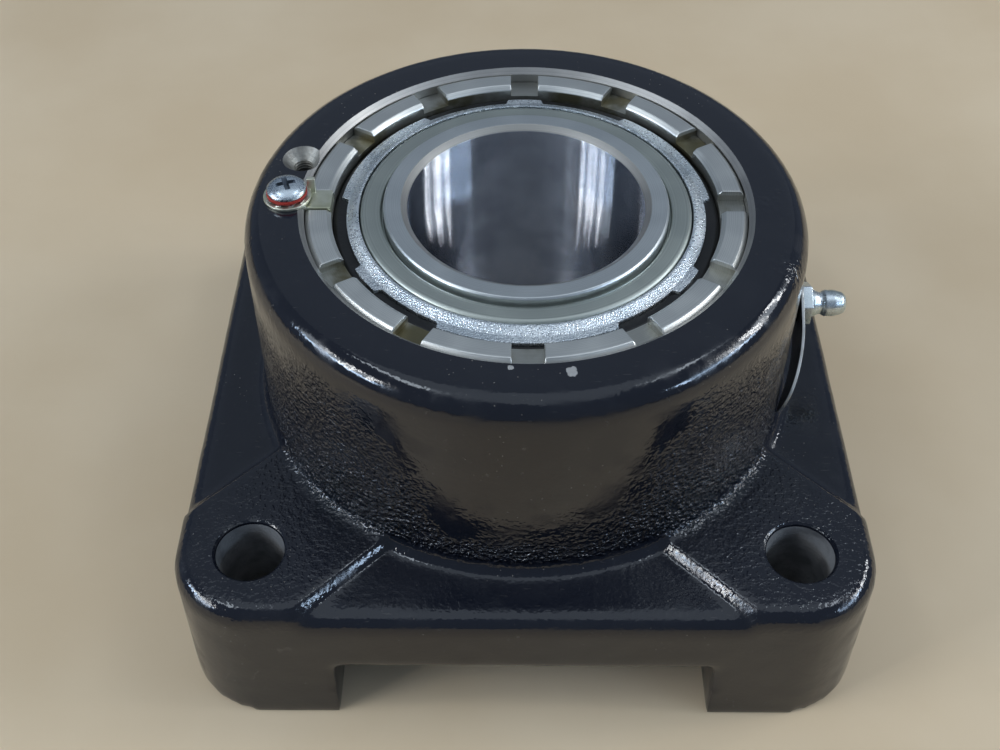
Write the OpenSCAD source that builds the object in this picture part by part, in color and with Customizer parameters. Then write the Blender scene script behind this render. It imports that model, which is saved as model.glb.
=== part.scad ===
// Four-bolt flange bearing: a cast housing on four feet with an adjustable double-row tapered roller bearing.
// The origin is the middle of the mounting face, +Z runs up the shaft and +X points to the grease fitting.

/* [Flange] */
// Width of the square flange at the mounting face
flange_w = 177.4; // [172:0.2:190]
// Radius of the flange's corners at the mounting face
flange_corner_r = 21.5; // [16:0.5:26]
// Draft of the flange's sides, in degrees
flange_draft = 1.6; // [0.5:0.1:3]
// Height of the flat panels between the corner bosses
panel_h = 41.3; // [36:0.1:44]
// How far the corner bosses rise above the panels
boss_rise = 3.1; // [1:0.1:5]
// Width of a corner boss at its top
boss_w = 41; // [36:0.5:50]
// How far a boss's side wall leans out at its foot
boss_lean = 1.8; // [0.5:0.1:3]
// Rounding of the flange's upper edges
edge_r = 4.8; // [2:0.1:6]
// Distance from the flange's sides to the middles of the bolt holes
bolt_edge = 20.45; // [18:0.05:24]
// Diameter of the bolt holes
bolt_hole_d = 17; // [11:0.5:19]
// Width of a foot, from the flange's side to the open relief
foot_w = 40.9; // [36:0.1:46]
// Height of the open relief between two feet
relief_h = 21.8; // [18:0.2:25]
// Rounding of the relief's upper corners
relief_r = 3; // [1:0.5:6]

/* [Barrel] */
// Height of the housing above the mounting face
housing_h = 100.5; // [98:0.5:110]
// Wall of the barrel outside the adjusting nut, at its upper end
barrel_wall = 15.4; // [13:0.1:18]
// Draft of the barrel's wall, in degrees
barrel_draft = 1; // [0.2:0.1:2]
// Rounding of the barrel's upper rim
rim_r = 7; // [3:0.5:8]
// Fillet where the barrel meets the flange
barrel_fillet = 4; // [2:0.5:6]
// Chamfer at the mouth of the housing
mouth_chamfer = 1.4; // [0.5:0.1:2]

/* [Roller bearing] */
// Diameter of the shaft bore
bore_d = 60; // [50:0.5:62]
// Wall of the inner ring at the seals and the collar
ring_wall = 6; // [5:0.1:7]
// How far the inner ring's end lies below the housing's face
ring_sink = 0.6; // [0:0.1:3]
// Height of the inner ring's lower end above the mounting face
ring_foot = 3; // [1:0.5:6]
// Depth of the bearing's middle plane below the housing's face
mid_depth = 36.5; // [35:0.1:38]
// Distance from the inner ring's plain ends out to the rollers' pitch circle
roller_rise = 8.6; // [8:0.1:9.4]
// Mean diameter of a roller
roller_d = 11; // [10:0.1:11.4]
// Length of a roller
roller_len = 14; // [11:0.1:14.5]
// Tilt of the rollers' axes, in degrees
roller_tilt = 12; // [10:0.1:13]
// Number of rollers in each row
rollers_per_row = 18; // [12:1:18]
// Width of the inner ring's middle rib
rib_w = 6.6; // [5:0.1:8]
// Height of the middle rib above the raceway
rib_rise = 3.2; // [2:0.1:4]
// Height of the small ribs at the rollers' outer ends
small_rib_rise = 1.6; // [1:0.1:2.4]
// Width of the small ribs
small_rib_w = 3; // [2:0.1:3.5]
// Least wall of the two outer rings
cup_wall = 2.765; // [2.4:0.005:3.4]
// Gap between the two outer rings, where the grease enters
cup_gap = 5; // [3:0.1:6]
// Length of an outer ring behind the rollers' small ends
cup_lip = 2.4; // [1.5:0.1:3]
// Slip of the outer rings in the housing, on the radius
cup_slip = 0.05; // [0.02:0.01:0.1]
// Running clearance between a roller and its raceways
race_gap = 0.08; // [0.05:0.01:0.12]
// Clearance at the ends of a roller
roller_play = 0.4; // [0.3:0.1:0.6]
// Offset of the cage's wall from the rollers' axes
cage_offset = 1.8; // [1.4:0.1:2.2]
// Wall of the cages
cage_wall = 1.6; // [1:0.1:2]

/* [Adjusting nut] */
// Step from the outer rings' seat out to the nut's thread
nut_step = 1.4; // [1:0.1:2]
// Wall of the adjusting nut
nut_wall = 6.6; // [5.5:0.1:7.5]
// How far the nut's face lies below the housing's face
nut_sink = 0.9; // [0.5:0.1:2]
// Number of slots in the nut's face
nut_slots = 12; // [6:2:16]
// Width of a slot
slot_w = 7.5; // [7:0.1:9]
// Depth of a slot
slot_depth = 3; // [2:0.1:4]
// Chamfer of the nut's edges
nut_chamfer = 1.1; // [0.5:0.1:1.5]
// Clearance of the nut in its thread, on the radius
thread_gap = 0.15; // [0.05:0.05:0.3]

/* [Seals] */
// Distance from the outer rings to the seals
seal_gap = 2; // [1:0.1:3]
// Thickness of a seal
seal_t = 7.6; // [7:0.1:8]
// Wall of the seal's rubber ring
seal_wall = 4; // [3:0.1:4.4]
// Clearance of the seal's lip round the inner ring
lip_gap = 0.2; // [0.1:0.05:0.4]
// Sheet thickness of the seal retainer
retainer_t = 1; // [0.6:0.1:1.4]
// Width of the retainer's plate between its lugs
retainer_w = 3.2; // [2.6:0.1:3.8]
// Reach of the retainer's lugs beyond its plate
lug_reach = 1.8; // [1:0.1:2.4]
// Gap from the lugs to the nut's bore
lug_gap = 1.8; // [1:0.1:2.4]
// Clearance of the flinger inside the retainer
flinger_gap = 0.3; // [0.2:0.05:0.6]
// Thickness of the flinger
flinger_t = 5; // [4:0.1:6]
// How far the flinger stands above the retainer
flinger_proud = 1.4; // [0.5:0.1:1.8]

/* [Nut lock] */
// Distance from the nut's edge to the lock's screw holes
lock_inset = 4.4; // [4:0.1:5.5]
// Depth of the lock's screw holes
lock_hole_depth = 12; // [10:0.5:14]
// Diameter of the lock's screw
lock_screw_d = 5; // [4:0.5:6]
// Angle from the lock to the spare screw hole, in degrees
spare_angle = 15; // [12:0.5:20]
// Diameter of the countersink at the spare hole
spare_sink_d = 10.5; // [8:0.5:11]
// Thickness of the tab's plate under the screw
tab_t = 0.8; // [0.6:0.1:1.6]
// Thickness of the tab's finger in the nut's slot
finger_t = 3.2; // [2:0.1:3.6]
// Width of the tab's finger
tab_w = 7; // [5:0.1:7.2]
// Diameter of the tab's plate under the screw
tab_plate_d = 12; // [11:0.5:14]
// Width of the upright ear on the tab
ear_w = 2; // [1.5:0.1:3]
// Height of the upright ear on the tab
ear_h = 7.5; // [5:0.1:8.5]
// Thickness of the toothed washer
star_t = 0.5; // [0.4:0.1:1.2]
// Thickness of the fibre washer
fibre_t = 0.8; // [0.5:0.1:1.5]
// Diameter of the screw's head
head_d = 9.8; // [8:0.1:10.4]
// Height of the screw's head
head_h = 2.4; // [2:0.1:4]

/* [Grease fitting] */
// How far the fitting's boss stands out from the barrel's upper end
grease_proud = 3.1; // [2.5:0.1:6]
// Diameter of the fitting's boss
grease_boss_d = 12; // [11:0.5:16]
// Diameter of the fitting's shank
grease_shank_d = 8; // [6:0.5:9]
// Length of the fitting's shank
grease_shank_len = 8; // [6:0.5:10]
// Diameter of the duct from the fitting to the rollers
grease_duct_d = 4; // [3:0.5:5]
// Height of the fitting's hexagon
hex_h = 2.6; // [2:0.1:4]
// Height of the cone above the hexagon
cone_h = 2.6; // [2:0.1:4]
// Length of the fitting's neck
neck_h = 0.6; // [0.4:0.1:3]
// Length of the fitting's head
grip_h = 6.5; // [4:0.1:7]
// Width of the fitting's hexagon across its flats
grease_hex = 10.5; // [9:0.5:12]
// Diameter of the fitting's head
grease_head_d = 7.2; // [6:0.1:7.6]
// Diameter of the fitting's check ball
ball_d = 2.3; // [2:0.1:2.5]
// Sheet thickness of the tag under the fitting
tag_t = 0.8; // [0.5:0.1:1]
// Width of the tag
tag_w = 12; // [11:0.5:14]
// Distance from the fitting to the tag's far end
tag_len = 30; // [24:0.5:32]
// Gap between the tag's far end and the flange's panel
tag_clear = 3.6; // [2:0.1:8]
// How far the tag's far end bows in towards the barrel
tag_sag = 6; // [3:0.1:6.2]

/* [Locking collar] */
// Wall of the locking collar
collar_wall = 9.95; // [8:0.05:11]
// Width of the locking collar
collar_w = 14; // [12:0.5:16]
// Distance from the inner ring's lower end to the collar
collar_inset = 2; // [1:0.5:4]
// Slip of the collar on the inner ring, on the radius
collar_slip = 0.05; // [0.02:0.01:0.1]
// Diameter of the set screws
set_screw_d = 9; // [6:0.5:10]
// Angle between the two set screws, in degrees
set_screw_angle = 120; // [60:5:180]

/* [Hidden] */
ROW_NUMBERS = [1 : rollers_per_row];
function numbered(name, i) = str(name, i < 10 ? "_0" : "_", i);
$fn = 96;
SMALL_FN = 32;
// How far a cutter runs past the surface that it cuts
PAST = 1;
// Share of a rounding's radius by which its circle stands past the two walls
BULGE = 0.03;
// Gap left between two pieces that bear on each other
REST_GAP = 0.05;
// Clearance of a screw in a tapped hole and in a plain hole, on the diameter
TAPPED_GAP = 0.1;
LOOSE_GAP = 0.3;

// Diameters, from the shaft's bore out to the barrel and from the nut back in to the seals
land_d = bore_d + 2 * ring_wall;
pitch_d = land_d + 2 * roller_rise;
cup_d = pitch_d + roller_d * cos(roller_tilt) + roller_len * sin(roller_tilt) + 2 * cup_wall;
nut_d = cup_d + 2 * nut_step;
barrel_d = nut_d + 2 * barrel_wall;
nut_bore_d = nut_d - 2 * nut_wall;
retainer_d = nut_bore_d - 2 * (lug_gap + lug_reach);
flinger_d = retainer_d - 2 * (retainer_w + flinger_gap);
collar_d = land_d + 2 * (collar_slip + collar_wall);

// Roller rows: a point is given by its distance s from the row's apex along the roller's axis and its
// distance t outwards from that axis, and comes back as [radius, height above the bearing's middle]
apex_s = pitch_d / 2 / sin(roller_tilt);
small_s = apex_s - roller_len / 2;
large_s = apex_s + roller_len / 2;
rib_s = large_s + roller_play;
function roller_r(s) = s * roller_d / 2 / apex_s;
function race_t(s) = roller_r(s) + race_gap;
apex_h = rib_w / 2 + rib_s * cos(roller_tilt) + race_t(rib_s) * sin(roller_tilt);
function on_row(s, t) = [
    s * sin(roller_tilt) + t * cos(roller_tilt),
    apex_h - s * cos(roller_tilt) + t * sin(roller_tilt)
];
function radius_at(a, b, h) = a[0] + (b[0] - a[0]) * (h - a[1]) / (b[1] - a[1]);
function below(points) = [for (i = [len(points) - 1 : -1 : 0]) [points[i][0], -points[i][1]]];

// Heights above the bearing's middle that both rows and both seals share
cup_back = on_row(small_s, race_t(small_s))[1] + cup_lip;
seal_in = cup_back + seal_gap;
seal_out = seal_in + seal_t;
retainer_out = seal_out + retainer_t;
flinger_out = retainer_out + flinger_proud;

mid_h = housing_h - mid_depth;
flange_top = panel_h + boss_rise;
bolt_spacing = flange_w - 2 * bolt_edge;
relief_w = flange_w - 2 * foot_w;
nut_top = housing_h - nut_sink;
nut_foot = mid_h + cup_back;
thread_r = nut_d / 2 + thread_gap;
cup_seat_r = cup_d / 2 + cup_slip;
slot_floor = nut_top - slot_depth;
ring_top = housing_h - ring_sink;
collar_foot = ring_foot + collar_inset;
set_screw_h = collar_foot + collar_w / 2;
collar_bore_r = land_d / 2 + collar_slip;
washer_foot = housing_h + tab_t;
head_foot = washer_foot + star_t + fibre_t;
lock_r = nut_d / 2 + lock_inset;
finger_r = sqrt(pow(thread_r, 2) - pow(tab_w / 2, 2)) - REST_GAP;
grease_face = barrel_d / 2 + grease_proud;
hex_foot = grease_face + tag_t;

// What a rounding of radius r takes off a convex corner at [x, y] whose walls run towards -x and -y
module corner_cut(x, y, r) {
    centre = [x - r * (1 - BULGE), y - r * (1 - BULGE)];
    difference() {
        translate(centre) square(r + PAST);
        translate(centre) circle(r);
    }
}

// Half section of the flange out to its side at the distance reach from the section's own middle
module flange_section(reach, height) {
    lean = height * tan(flange_draft);
    difference() {
        polygon([[0, 0], [reach, 0], [reach - lean, height], [0, height]]);
        corner_cut(reach - lean, height, edge_r);
    }
}

module flange_side(reach, height, run) {
    translate([0, run / 2, 0]) rotate([90, 0, 0]) linear_extrude(run) flange_section(reach, height);
}

// Square block with drafted sides, round corners and rounded upper edges
module flange_block(height) {
    centre = flange_w / 2 - flange_corner_r;
    for (quarter = [0 : 3]) rotate(quarter * 90) {
        flange_side(flange_w / 2, height, 2 * centre);
        translate([centre, centre, 0]) rotate_extrude(angle = 90) flange_section(flange_corner_r, height);
    }
}

// The two diagonal bars that stay as raised bosses
module boss_bars() {
    run = 2 * flange_w;
    low = panel_h - edge_r;
    high = flange_top + PAST;
    low_x = boss_w / 2 + boss_lean * (1 + edge_r / boss_rise);
    high_x = boss_w / 2 - boss_lean * PAST / boss_rise;
    for (turn = [45, 135]) rotate(turn) translate([0, run / 2, 0]) rotate([90, 0, 0]) linear_extrude(run)
        polygon([[-low_x, low], [low_x, low], [high_x, high], [-high_x, high]]);
}

// Everything above the panels' surface and outside their rounded outer edges
module above_panels() {
    reach = flange_w / 2;
    lean = panel_h * tan(flange_draft);
    for (quarter = [0 : 3]) rotate(quarter * 90)
        translate([0, reach, 0]) rotate([90, 0, 0]) linear_extrude(2 * reach) {
            translate([0, panel_h]) square([reach + PAST, boss_rise + PAST]);
            corner_cut(reach - lean, panel_h, edge_r);
        }
}

module barrel() {
    r_top = barrel_d / 2;
    r_foot = r_top + (housing_h - panel_h) * tan(barrel_draft);
    r_fillet = r_foot + barrel_fillet;
    fillet_top = panel_h + barrel_fillet;
    sunk = BULGE * barrel_fillet;
    rotate_extrude() difference() {
        polygon([
            [0, relief_h], [r_fillet, relief_h], [r_fillet, fillet_top],
            [r_foot - barrel_fillet * tan(barrel_draft), fillet_top], [r_top, housing_h], [0, housing_h]
        ]);
        translate([r_fillet + sunk, fillet_top - sunk]) circle(barrel_fillet + sunk);
        corner_cut(r_top, housing_h, rim_r);
    }
}

// Open channel between two pairs of feet, straight through the flange
module relief_channel() {
    run = flange_w + 2 * PAST;
    translate([0, run / 2, 0]) rotate([90, 0, 0]) linear_extrude(run) difference() {
        translate([-relief_w / 2, -PAST]) square([relief_w, relief_h + PAST]);
        for (side = [0, 1]) mirror([side, 0]) corner_cut(relief_w / 2, relief_h, relief_r);
    }
}

module at_bolts() {
    for (x = [-1, 1], y = [-1, 1]) translate([x, y, 0] * bolt_spacing / 2) children();
}

// The stepped bore: nut thread, seat of the two outer rings, lower seal's seat
module housing_bore() {
    foot = relief_h - PAST;
    shoulder = mid_h - cup_back;
    thread_foot = nut_foot - nut_step;
    rotate_extrude() polygon([
        [0, foot], [nut_bore_d / 2, foot], [nut_bore_d / 2, shoulder], [cup_seat_r, shoulder],
        [cup_seat_r, thread_foot], [thread_r, thread_foot], [thread_r, housing_h - mouth_chamfer],
        [thread_r + mouth_chamfer + PAST, housing_h + PAST], [0, housing_h + PAST]
    ]);
}

module lock_holes() {
    hole_r = (lock_screw_d + TAPPED_GAP) / 2;
    sink = spare_sink_d / 2 - hole_r;
    for (turn = [180, 180 - spare_angle]) rotate(turn) translate([lock_r, 0, housing_h - lock_hole_depth])
        cylinder(r = hole_r, h = lock_hole_depth + PAST, $fn = SMALL_FN);
    rotate(180 - spare_angle) translate([lock_r, 0, housing_h - sink])
        cylinder(r1 = hole_r, r2 = spare_sink_d / 2 + PAST, h = sink + PAST, $fn = SMALL_FN);
}

module along_x(x) {
    translate([x, 0, mid_h]) rotate([0, 90, 0]) children();
}

module grease_boss() {
    start = barrel_d / 2 - rim_r;
    along_x(start) cylinder(d = grease_boss_d, h = grease_face - start);
}

module grease_passage() {
    start = nut_bore_d / 2;
    shank_end = grease_face - grease_shank_len;
    along_x(start) cylinder(d = grease_duct_d, h = grease_face - start, $fn = SMALL_FN);
    along_x(shank_end) cylinder(d = grease_shank_d + TAPPED_GAP, h = grease_shank_len + PAST, $fn = SMALL_FN);
}

module housing() {
    color("#17181b") difference() {
        union() {
            difference() {
                flange_block(flange_top);
                difference() {
                    above_panels();
                    boss_bars();
                }
            }
            barrel();
            grease_boss();
        }
        housing_bore();
        relief_channel();
        rotate(90) relief_channel();
        at_bolts() translate([0, 0, -PAST]) cylinder(d = bolt_hole_d, h = flange_top + 2 * PAST);
        lock_holes();
        grease_passage();
    }
}

module adjusting_nut() {
    outer = nut_d / 2;
    inner = nut_bore_d / 2;
    slot = [outer - inner + 2 * PAST, slot_w, slot_depth + PAST];
    color("#a9abab") difference() {
        rotate_extrude() polygon([
            [inner, nut_foot], [outer - nut_chamfer, nut_foot], [outer, nut_foot + nut_chamfer],
            [outer, nut_top - nut_chamfer], [outer - nut_chamfer, nut_top],
            [inner + nut_chamfer, nut_top], [inner, nut_top - nut_chamfer]
        ]);
        for (i = [0 : nut_slots - 1]) rotate(i * 360 / nut_slots)
            translate([inner - PAST, -slot_w / 2, slot_floor]) cube(slot);
    }
}

// Section of the lock's tab, from its plate on the housing to the finger that fills a slot of the nut
module tab_section() {
    // Slope of the step down to the finger, as a share of the plate's thickness
    slope = 0.6 * tab_t;
    low = slot_floor + REST_GAP;
    top = low + finger_t;
    plate_r = finger_r + mouth_chamfer;
    tip_r = nut_bore_d / 2;
    polygon([
        [lock_r, housing_h], [plate_r, housing_h], [finger_r, housing_h - mouth_chamfer], [finger_r, low],
        [tip_r, low], [tip_r, top], [finger_r - slope, top], [plate_r - slope, housing_h + tab_t],
        [lock_r, housing_h + tab_t]
    ]);
}

module nut_lock_tab() {
    ear_t = 1.2;
    ear_inset = 0.4;
    ear_r = finger_r - ear_w - ear_inset;
    hole_d = lock_screw_d + LOOSE_GAP;
    color("#a79a55") rotate(180) difference() {
        union() {
            translate([0, tab_w / 2, 0]) rotate([90, 0, 0]) linear_extrude(tab_w) tab_section();
            translate([lock_r, 0, housing_h]) cylinder(d = tab_plate_d, h = tab_t);
            translate([ear_r, -tab_w / 2, slot_floor + REST_GAP]) cube([ear_w, ear_t, ear_h]);
        }
        translate([lock_r, 0, housing_h - PAST]) cylinder(d = hole_d, h = tab_t + 2 * PAST, $fn = SMALL_FN);
    }
}

module at_lock(height) {
    translate([-lock_r, 0, height]) children();
}

module toothed_washer() {
    teeth = 10;
    plate_d = 0.86 * head_d;
    tooth = [0.55 * head_d, 0.14 * head_d];
    color("#d9dadb") at_lock(washer_foot) linear_extrude(star_t) difference() {
        union() {
            circle(d = plate_d);
            for (i = [0 : teeth - 1]) rotate(i * 360 / teeth) translate([0, -tooth[1] / 2]) square(tooth);
        }
        circle(d = lock_screw_d + LOOSE_GAP, $fn = SMALL_FN);
    }
}

module fibre_washer() {
    outer_d = 1.04 * head_d;
    color("#a8352b") at_lock(washer_foot + star_t) linear_extrude(fibre_t) difference() {
        circle(d = outer_d);
        circle(d = lock_screw_d + LOOSE_GAP, $fn = SMALL_FN);
    }
}

// Pan-head screw with a cross recess
module nut_lock_screw() {
    dome_r = 0.7 * head_h;
    recess_depth = 0.6 * head_h;
    recess = [0.52 * head_d, 0.13 * head_d, 2 * recess_depth];
    recess_turn = 20;
    shank_len = head_foot - housing_h + lock_hole_depth - lock_screw_d / 2;
    color("#c9cbcc") at_lock(head_foot) difference() {
        union() {
            translate([0, 0, -shank_len]) cylinder(d = lock_screw_d, h = shank_len + PAST, $fn = SMALL_FN);
            rotate_extrude() difference() {
                square([head_d / 2, head_h]);
                corner_cut(head_d / 2, head_h, dome_r);
            }
        }
        for (turn = [0, 90]) translate([0, 0, head_h]) rotate(recess_turn + turn) cube(recess, center = true);
    }
}

// Inner ring: two tapered raceways either side of a middle rib, with plain lands beyond them
module inner_ring() {
    edge = 0.5;
    bore_edge = [1.6, 1.28];
    bore_r = bore_d / 2;
    land_r = land_d / 2;
    top = ring_top - mid_h;
    foot = ring_foot - mid_h;
    small_end = small_s - roller_play;
    small_t = small_rib_rise - roller_r(small_s);
    rib_t = rib_rise - roller_r(rib_s);
    row = [
        [land_r, on_row(small_end - small_rib_w, small_t)[1]],
        on_row(small_end - small_rib_w, small_t), on_row(small_end, small_t),
        on_row(small_end, -race_t(small_end)), on_row(rib_s, -race_t(rib_s)), on_row(rib_s, rib_t)
    ];
    color("#b4b6b8") difference() {
        translate([0, 0, mid_h]) rotate_extrude() polygon(concat(
            [[bore_r, top - bore_edge[1]], [bore_r + bore_edge[0], top]],
            [[land_r - edge, top], [land_r, top - edge]],
            row, below(row),
            [[land_r, foot + edge], [land_r - edge, foot], [bore_r + edge, foot], [bore_r, foot + edge]]
        ));
        at_set_screws() translate([0, 0, bore_r - PAST])
            cylinder(d = set_screw_d + LOOSE_GAP, h = ring_wall + 2 * PAST, $fn = SMALL_FN);
    }
}

// Places what it draws at the bearing's middle, upright for the upper row and turned over for the lower
module in_row(upper) {
    translate([0, 0, mid_h]) mirror([0, 0, upper ? 0 : 1]) children();
}

module cup(upper) {
    front = cup_gap / 2;
    race_a = on_row(small_s, race_t(small_s));
    race_b = on_row(large_s, race_t(large_s));
    color("#9fa1a3") in_row(upper) rotate_extrude() polygon([
        [radius_at(race_a, race_b, front), front], [cup_d / 2, front],
        [cup_d / 2, cup_back], [radius_at(race_a, race_b, cup_back), cup_back]
    ]);
}

// Turns and tilts its children so that their z axis runs from the row's apex along roller i.
// The lower row lies half a step round from the upper one.
module on_roller(upper, i) {
    step = 360 / rollers_per_row;
    turn = (upper ? i - 1 : i - 1 / 2) * step;
    rotate(turn) translate([0, 0, apex_h]) rotate([0, 180 - roller_tilt, 0]) children();
}

module roller(upper, i) {
    edge = 0.5;
    color("#c4c6c8") in_row(upper) on_roller(upper, i) rotate_extrude() polygon([
        [0, small_s], [roller_r(small_s) - edge, small_s], [roller_r(small_s + edge), small_s + edge],
        [roller_r(large_s - edge), large_s - edge], [roller_r(large_s) - edge, large_s], [0, large_s]
    ]);
}

// Cage: a tapered basket with one window for each roller and a turned-in rim at its small end
module cage(upper) {
    inner_t = cage_offset;
    outer_t = cage_offset + cage_wall;
    rim_t = -0.2 * roller_d;
    start = small_s - roller_play - cage_wall;
    rim = start + cage_wall;
    finish = large_s + roller_play + cage_wall;
    half_window = sqrt(pow(roller_r(large_s), 2) - pow(inner_t, 2)) + roller_play;
    color("#8d8f8c") in_row(upper) difference() {
        rotate_extrude() polygon([
            on_row(start, rim_t), on_row(start, outer_t), on_row(finish, outer_t),
            on_row(finish, inner_t), on_row(rim, inner_t), on_row(rim, rim_t)
        ]);
        for (i = ROW_NUMBERS) on_roller(upper, i) translate([-outer_t - PAST, -half_window, rim])
            cube([cage_wall + 2 * PAST, 2 * half_window, roller_len + 2 * roller_play]);
    }
}

// Rubber ring with a lip that reaches in to the inner ring
module seal(upper) {
    outer = nut_bore_d / 2 - REST_GAP;
    inner = outer - seal_wall;
    lip_r = land_d / 2 + lip_gap;
    root_t = 2.1;
    lip_t = 1.2;
    lip_lift = 0.4;
    color("#1d1d1e") in_row(upper) rotate_extrude() polygon([
        [inner, seal_in], [outer, seal_in], [outer, seal_out], [inner, seal_out], [inner, seal_in + root_t],
        [lip_r, seal_in + lip_lift + lip_t], [lip_r, seal_in + lip_lift]
    ]);
}

// Half angle and middle angle of each lug round the retainer
LUGS = [[27, 270], [6, 326], [25, 30], [6, 90], [25, 150], [6, 214]];

// Triangle from the middle outwards along +x, half_angle wide to either side
module wedge(half_angle, reach) {
    side = reach * tan(half_angle);
    polygon([[0, 0], [reach, -side], [reach, side]]);
}

// Sheet-metal ring that holds the seal, with lugs round its outer edge
module seal_retainer(upper) {
    inner = flinger_d / 2 + flinger_gap;
    skirt_r = nut_bore_d / 2 - seal_wall - 2 * REST_GAP;
    skirt_h = 0.55 * seal_t;
    lug_r = retainer_d / 2 + lug_reach;
    color("#c6c8c4") in_row(upper) {
        translate([0, 0, seal_out]) linear_extrude(retainer_t) difference() {
            union() {
                circle(d = retainer_d);
                intersection() {
                    circle(r = lug_r);
                    for (lug = LUGS) rotate(lug[1]) wedge(lug[0], 2 * lug_r);
                }
            }
            circle(r = inner);
        }
        rotate_extrude() translate([skirt_r - retainer_t, seal_out - skirt_h])
            square([retainer_t, skirt_h + retainer_t / 2]);
    }
}

// Ring on the inner ring that turns with it and throws grease and dirt outwards
module flinger(upper) {
    inner = land_d / 2;
    outer = flinger_d / 2;
    groove = [0.7, 1.6];
    edge = 1.2;
    color("#8b8d8f") in_row(upper) rotate_extrude() difference() {
        translate([inner, flinger_out - flinger_t]) square([outer - inner, flinger_t]);
        translate([inner - PAST, flinger_out - groove[1]]) square([groove[0] + PAST, groove[1] + PAST]);
        corner_cut(outer, flinger_out, edge);
    }
}

module at_set_screws() {
    for (side = [-1, 1]) translate([0, 0, set_screw_h])
        rotate(270 + side * set_screw_angle / 2) rotate([0, 90, 0]) children();
}

module locking_collar() {
    edge = 0.8;
    outer = collar_d / 2;
    color("#3a3b3d") difference() {
        translate([0, 0, collar_foot]) rotate_extrude() polygon([
            [collar_bore_r, 0], [outer - edge, 0], [outer, edge],
            [outer, collar_w - edge], [outer - edge, collar_w], [collar_bore_r, collar_w]
        ]);
        at_set_screws() cylinder(d = set_screw_d + TAPPED_GAP, h = outer + PAST, $fn = SMALL_FN);
    }
}

module set_screws() {
    tip = bore_d / 2 + LOOSE_GAP;
    end = collar_d / 2 - LOOSE_GAP;
    key_d = 0.55 * set_screw_d;
    socket = 0.5 * set_screw_d;
    color("#2c2d2f") at_set_screws() difference() {
        translate([0, 0, tip]) cylinder(d = set_screw_d, h = end - tip, $fn = SMALL_FN);
        translate([0, 0, end - socket]) cylinder(d = key_d, h = socket + PAST, $fn = 6);
    }
}

// Lengths along the fitting, outwards from the foot of its hexagon
cone_end = hex_h + cone_h;
neck_end = cone_end + neck_h;
fitting_end = neck_end + grip_h;
ball_gap = 0.15;
chamber_r = ball_d / 2 + ball_gap;
mouth_r = 0.37 * ball_d;
mouth_lip = 0.15 * ball_d;
chamber_top = fitting_end - mouth_lip;
ball_h = chamber_top - sqrt(pow(ball_d / 2, 2) - pow(mouth_r, 2)) - REST_GAP;

module grease_fitting() {
    head_r = grease_head_d / 2;
    shank_r = grease_shank_d / 2;
    neck_r = 0.42 * grease_head_d;
    cone_r = 0.54 * grease_head_d;
    tip_r = 1.3 * mouth_r + ball_gap;
    shank_foot = tag_t - grease_shank_len;
    grip_foot = neck_end + 0.12 * grip_h;
    grip_top = neck_end + 0.5 * grip_h;
    brow = [0.84 * head_r, neck_end + 0.84 * grip_h];
    past_foot = shank_foot - PAST;
    past_end = fitting_end + PAST;
    color("#c9c6b8") along_x(hex_foot) difference() {
        union() {
            cylinder(d = grease_hex / cos(30), h = hex_h, $fn = 6);
            rotate_extrude() polygon([
                [0, shank_foot], [shank_r, shank_foot], [shank_r, hex_h], [cone_r, hex_h],
                [neck_r, cone_end], [neck_r, neck_end], [head_r, grip_foot], [head_r, grip_top],
                brow, [tip_r, fitting_end], [0, fitting_end]
            ]);
        }
        rotate_extrude() polygon([
            [0, past_foot], [mouth_r, past_foot], [mouth_r, hex_h], [chamber_r, hex_h],
            [chamber_r, chamber_top], [mouth_r, chamber_top], [mouth_r, past_end], [0, past_end]
        ]);
    }
}

module grease_ball() {
    color("#d8d9da") along_x(hex_foot + ball_h) sphere(d = ball_d, $fn = SMALL_FN);
}

// Helix of round wire, swept through rings of points
module grease_spring() {
    wire = 0.14;
    sides = 8;
    turns = 6;
    steps = 14;
    coil_r = chamber_r - wire - ball_gap;
    low = hex_h + wire;
    high = ball_h - ball_d / 2 - wire - REST_GAP;
    rings = turns * steps;
    points = [for (i = [0 : rings], j = [0 : sides - 1])
        let (a = i * 360 / steps, b = j * 360 / sides, r = coil_r + wire * cos(b))
        [r * cos(a), r * sin(a), low + (high - low) * i / rings + wire * sin(b)]];
    walls = [for (i = [0 : rings - 1], j = [0 : sides - 1])
        let (k = (j + 1) % sides)
        [i * sides + j, i * sides + k, (i + 1) * sides + k, (i + 1) * sides + j]];
    caps = [[for (j = [sides - 1 : -1 : 0]) j], [for (j = [0 : sides - 1]) rings * sides + j]];
    color("#8a8c8e") along_x(hex_foot) polyhedron(points, concat(walls, caps));
}

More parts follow.
